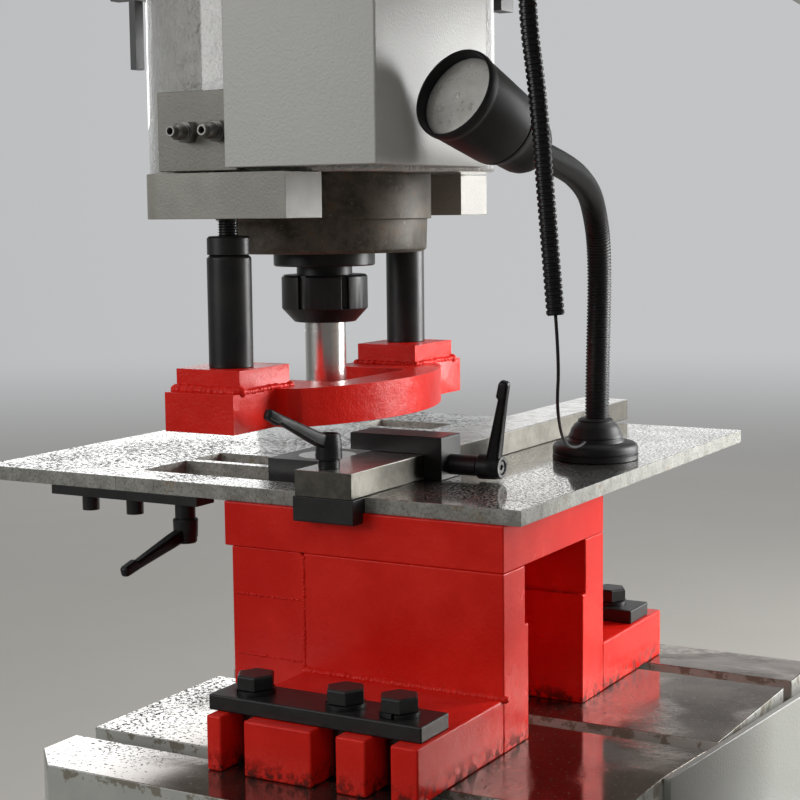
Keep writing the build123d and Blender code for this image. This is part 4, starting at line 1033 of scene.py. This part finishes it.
def nippleShape(x):
    nut, tip = nipple["hex"], nipple["reach"]
    nose = turned(
        [
            (0, nut),
            (0.0078, nut),
            (0.0078, nut + 0.0015),
            (0.0070, nut + 0.0022),
            (0.0070, nut + 0.0040),
            (0.0078, nut + 0.0048),
            (0.0078, nut + 0.0115),
            (0.0068, nut + 0.0130),
            (0.0056, nut + 0.0145),
            (0.0053, tip - 0.0006),
            (0.0047, tip),
            (0.0034, tip),
            (0.0031, tip - 0.0006),
            (0.0030, tip - 0.0130),
            (0, tip - 0.0130),
        ],
        steps=32,
    )
    whole = joined(nose, hexagonBar(nipple["flats"], nut, nipple["edge"]))
    place = seatMatrix((x, nipple["face"], nipple["height"]), (0, -1, 0), (0, 0, 1))
    bmesh.ops.transform(whole, matrix=place, verts=whole.verts)
    return whole


nippleShapes = [nippleShape(x) for x in nipple["places"]]
nipples = addPiece("oilNipples", joined(*nippleShapes), special["nipples"], "frame", 35)
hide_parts("nipples")

# Split spring washers under the bolts; wire and rise together make up the thickness of a ring
washer = {
    "inner": 0.01125,
    "outer": 0.018,
    "wire": 0.0041,
    "rise": 0.0009,
    "split": 9,
    "rows": (-0.241, 0.227),
    "places": (0.071, 0.1665, 0.221),
    "steps": 40,
}
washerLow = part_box("spring_washers")[0][2]


def washerShape(x, y):
    # Spun a little short of a full turn, rising as it goes round, so the ring stands split.
    shape = bmesh.new()
    inner, outer, wide = washer["inner"], washer["outer"], washer["wire"]
    made = bmesh.ops.create_grid(shape, x_segments=1, y_segments=1, size=0.5)["verts"]
    bmesh.ops.rotate(shape, verts=made, matrix=Matrix.Rotation(math.radians(90), 3, "X"))
    bmesh.ops.scale(shape, verts=made, vec=(outer - inner, 1, wide))
    bmesh.ops.translate(shape, verts=made, vec=((outer + inner) / 2, 0, wide / 2))
    bmesh.ops.spin(
        shape,
        geom=shape.faces[:],
        axis=(0, 0, 1),
        cent=(0, 0, 0),
        dvec=(0, 0, washer["rise"] / washer["steps"]),
        steps=washer["steps"],
        angle=math.radians(360 - washer["split"]),
    )
    turn = Matrix.Rotation(math.radians(dice.uniform(200, 330)), 4, "Z")
    bmesh.ops.transform(shape, matrix=Matrix.Translation((x, y, washerLow)) @ turn, verts=shape.verts)
    return shape


washerShapes = [washerShape(x, y) for y in washer["rows"] for x in washer["places"]]
washers = addPiece("splitWashers", joined(*washerShapes), finishes["black_oxide"], "frame", 35)
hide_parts("spring_washers")
print("fittings made")

# Weld beads, each a row of overlapping drops
bead = {"step": 0.0034, "wander": 0.0006}


def weldRow(start, end, radius, squash=0.75, step=bead["step"]):
    shape = bmesh.new()
    start, end = Vector(start), Vector(end)
    count = max(2, round((end - start).length / step))
    for index in range(count + 1):
        place = start.lerp(end, index / count)
        place += Vector([dice.uniform(-1, 1) * bead["wander"] for _ in range(3)])
        size = radius * dice.uniform(0.88, 1.1)
        drop = bmesh.ops.create_icosphere(shape, subdivisions=2, radius=size)["verts"]
        tipped, spun = dice.uniform(0, math.pi), dice.uniform(0, math.pi)
        turn = Matrix.Rotation(tipped, 3, "X") @ Matrix.Rotation(spun, 3, "Z")
        bmesh.ops.rotate(shape, verts=drop, matrix=turn)
        bmesh.ops.scale(shape, verts=drop, vec=(1, 1, squash))
        bmesh.ops.translate(shape, verts=drop, vec=place)
    return shape


stripper = {
    "ringTop": up(0.332),
    "skew": 0.004,
    "padHalf": 0.036,
    "padFront": 0.201,
    "padDepth": 0.084,
    "beadLift": 0.0008,
    "sideBead": 0.0044,
    "innerBead": 0.0036,
    "outerBead": 0.0062,
}
beadShapes = []
for side in (-1, 1):
    skew = side * stripper["skew"]
    padOut = side * stripper["padFront"]
    padIn = side * (stripper["padFront"] - stripper["padDepth"])
    right, left = skew + stripper["padHalf"], skew - stripper["padHalf"]
    level = stripper["ringTop"] + stripper["beadLift"]
    beadShapes += [
        weldRow((right, padOut, level), (right, padIn, level), stripper["sideBead"]),
        weldRow((left, padOut, level), (left, padIn, level), stripper["sideBead"]),
        weldRow((left, padIn, level), (right, padIn, level), stripper["innerBead"]),
        weldRow((left, padOut, level), (right, padOut, level), stripper["outerBead"], squash=0.9),
    ]
addPiece("stripperWelds", joined(*beadShapes), finishes["red_paint"], bodyOf["stripper"], 60)

bolster = {
    "left": -0.041,
    "right": 0.26,
    "join": 0.043,
    "front": -0.116,
    "foot": up(0.051),
    "lintel": up(0.168),
    "seamHeights": (up(0.060), up(0.121)),
    "seamEnd": 0.004,
}


def bolsterSeam(startX, endX, startZ, endZ, radius, sunk):
    # Ground nearly flush: only the crown of the bead stands out of the front.
    y = bolster["front"] + sunk
    return weldRow((startX, y, startZ), (endX, y, endZ), radius, squash=0.8, step=radius * 0.62)


left, join, right = bolster["left"], bolster["join"], bolster["right"]
foot, lintel, end = bolster["foot"], bolster["lintel"], bolster["seamEnd"]
seams = []
for height in bolster["seamHeights"]:
    seams.append(bolsterSeam(left + end, join - end, height, height, radius=0.0022, sunk=0.0013))
seams.append(bolsterSeam(join, right, foot, foot, radius=0.0052, sunk=0.0014))
seams.append(bolsterSeam(join, join, foot + end, lintel - end, radius=0.0026, sunk=0.0014))
addPiece("bolsterWelds", joined(*seams), finishes["red_paint"], "frame", 60)
print("welds made")


# Floor and light
sky = {
    "front": 0.12,
    "back": 0.56,
    "above": 0.27,
    "top": 0.72,
    "tint": (0.97, 0.985, 1.0),
    "fadeFrom": 3.0,
    "fadeTo": 13.0,
}


def skyColour(f, way):
    # Bright at the horizon behind the machine and overhead, with a darker band between,
    # and dark on the side that the picture is taken from.
    back = f.node("ShaderNodeSeparateXYZ", {}, {0: way}, 1).above(0.25, 0.75)
    height = f.node("ShaderNodeSeparateXYZ", {}, {0: way}, 2)
    low = f.blendValue(height.above(0.135, 0.018), sky["back"], sky["above"])
    tone = f.blendValue(height.above(0.62, 0.3), f.blendValue(back, sky["front"], low), sky["top"])
    return f.node("ShaderNodeVectorMath", {"operation": "SCALE"}, {0: sky["tint"], "Scale": tone})


class Sky(Finish):
    def __init__(self):
        world = bpy.data.worlds.new("sky")
        world.use_nodes = True
        self.tree = world.node_tree
        coords = self.tree.nodes.new("ShaderNodeTexCoord")
        way = Wire(self, coords.outputs["Generated"])
        self.feed(self.tree.nodes["Background"].inputs["Color"], skyColour(self, way))
        bpy.context.scene.world = world


def floorConcrete():
    # Far from the machine the floor takes the sky's own tone, so no line shows where they meet.
    f = Finish("floor")
    away = f.node("ShaderNodeVectorMath", {"operation": "LENGTH"}, {0: f.place}, 1)
    middle = (sky["fadeFrom"] + sky["fadeTo"]) / 2
    fade = away.above(middle, middle - sky["fadeFrom"])
    way = f.node("ShaderNodeVectorMath", {"operation": "NORMALIZE"}, {0: f.place})
    tone = f.noise(1.5, 4, 0.6)
    near = f.mix(tone, (0.335, 0.32, 0.295), (0.37, 0.355, 0.33))
    return f.set(
        colour=f.mix(fade, near, (0, 0, 0)),
        glow=f.mix(fade, (0, 0, 0), skyColour(f, way)),
        glowStrength=1.0,
        roughness=1.0,
        specular=0.0,
    )


def addFloor():
    shape = bmesh.new()
    bmesh.ops.create_grid(shape, x_segments=1, y_segments=1, size=40)
    mesh = bpy.data.meshes.new("floor")
    shape.to_mesh(mesh)
    shape.free()
    mesh.materials.append(floorConcrete())
    floor = bpy.data.objects.new("floor", mesh)
    bpy.context.collection.objects.link(floor)


lights = {
    "leftStrip": {"place": (-4.5, 4.4, 2.5), "aim": (0, 0, 0.9), "size": (2.4, 1.9), "power": 22},
    "rightStrip": {"place": (-1.5, 6.1, 1.95), "aim": (0, 0, 0.9), "size": (2.4, 0.75), "power": 6},
    "side": {"place": (3.25, 3.1, 2.0), "aim": (0.2, 0, 1.0), "size": (2.3, 2.6), "power": 430},
    "front": {"place": (-2.4, -3.6, 2.2), "aim": (0.1, 0, 1.0), "size": (2.4, 1.6), "power": 62},
}


def addLights():
    for name, setup in lights.items():
        data = bpy.data.lights.new(name, "AREA")
        data.shape = "RECTANGLE"
        data.size, data.size_y = setup["size"]
        data.energy = setup["power"]
        light = bpy.data.objects.new(name, data)
        light.location = setup["place"]
        toAim = Vector(setup["aim"]) - Vector(setup["place"])
        light.rotation_euler = toAim.to_track_quat("-Z", "Y").to_euler()
        light.visible_camera = False
        bpy.context.collection.objects.link(light)
    Sky()


addFloor()
addLights()
bpy.context.scene.view_settings.view_transform = "Standard"
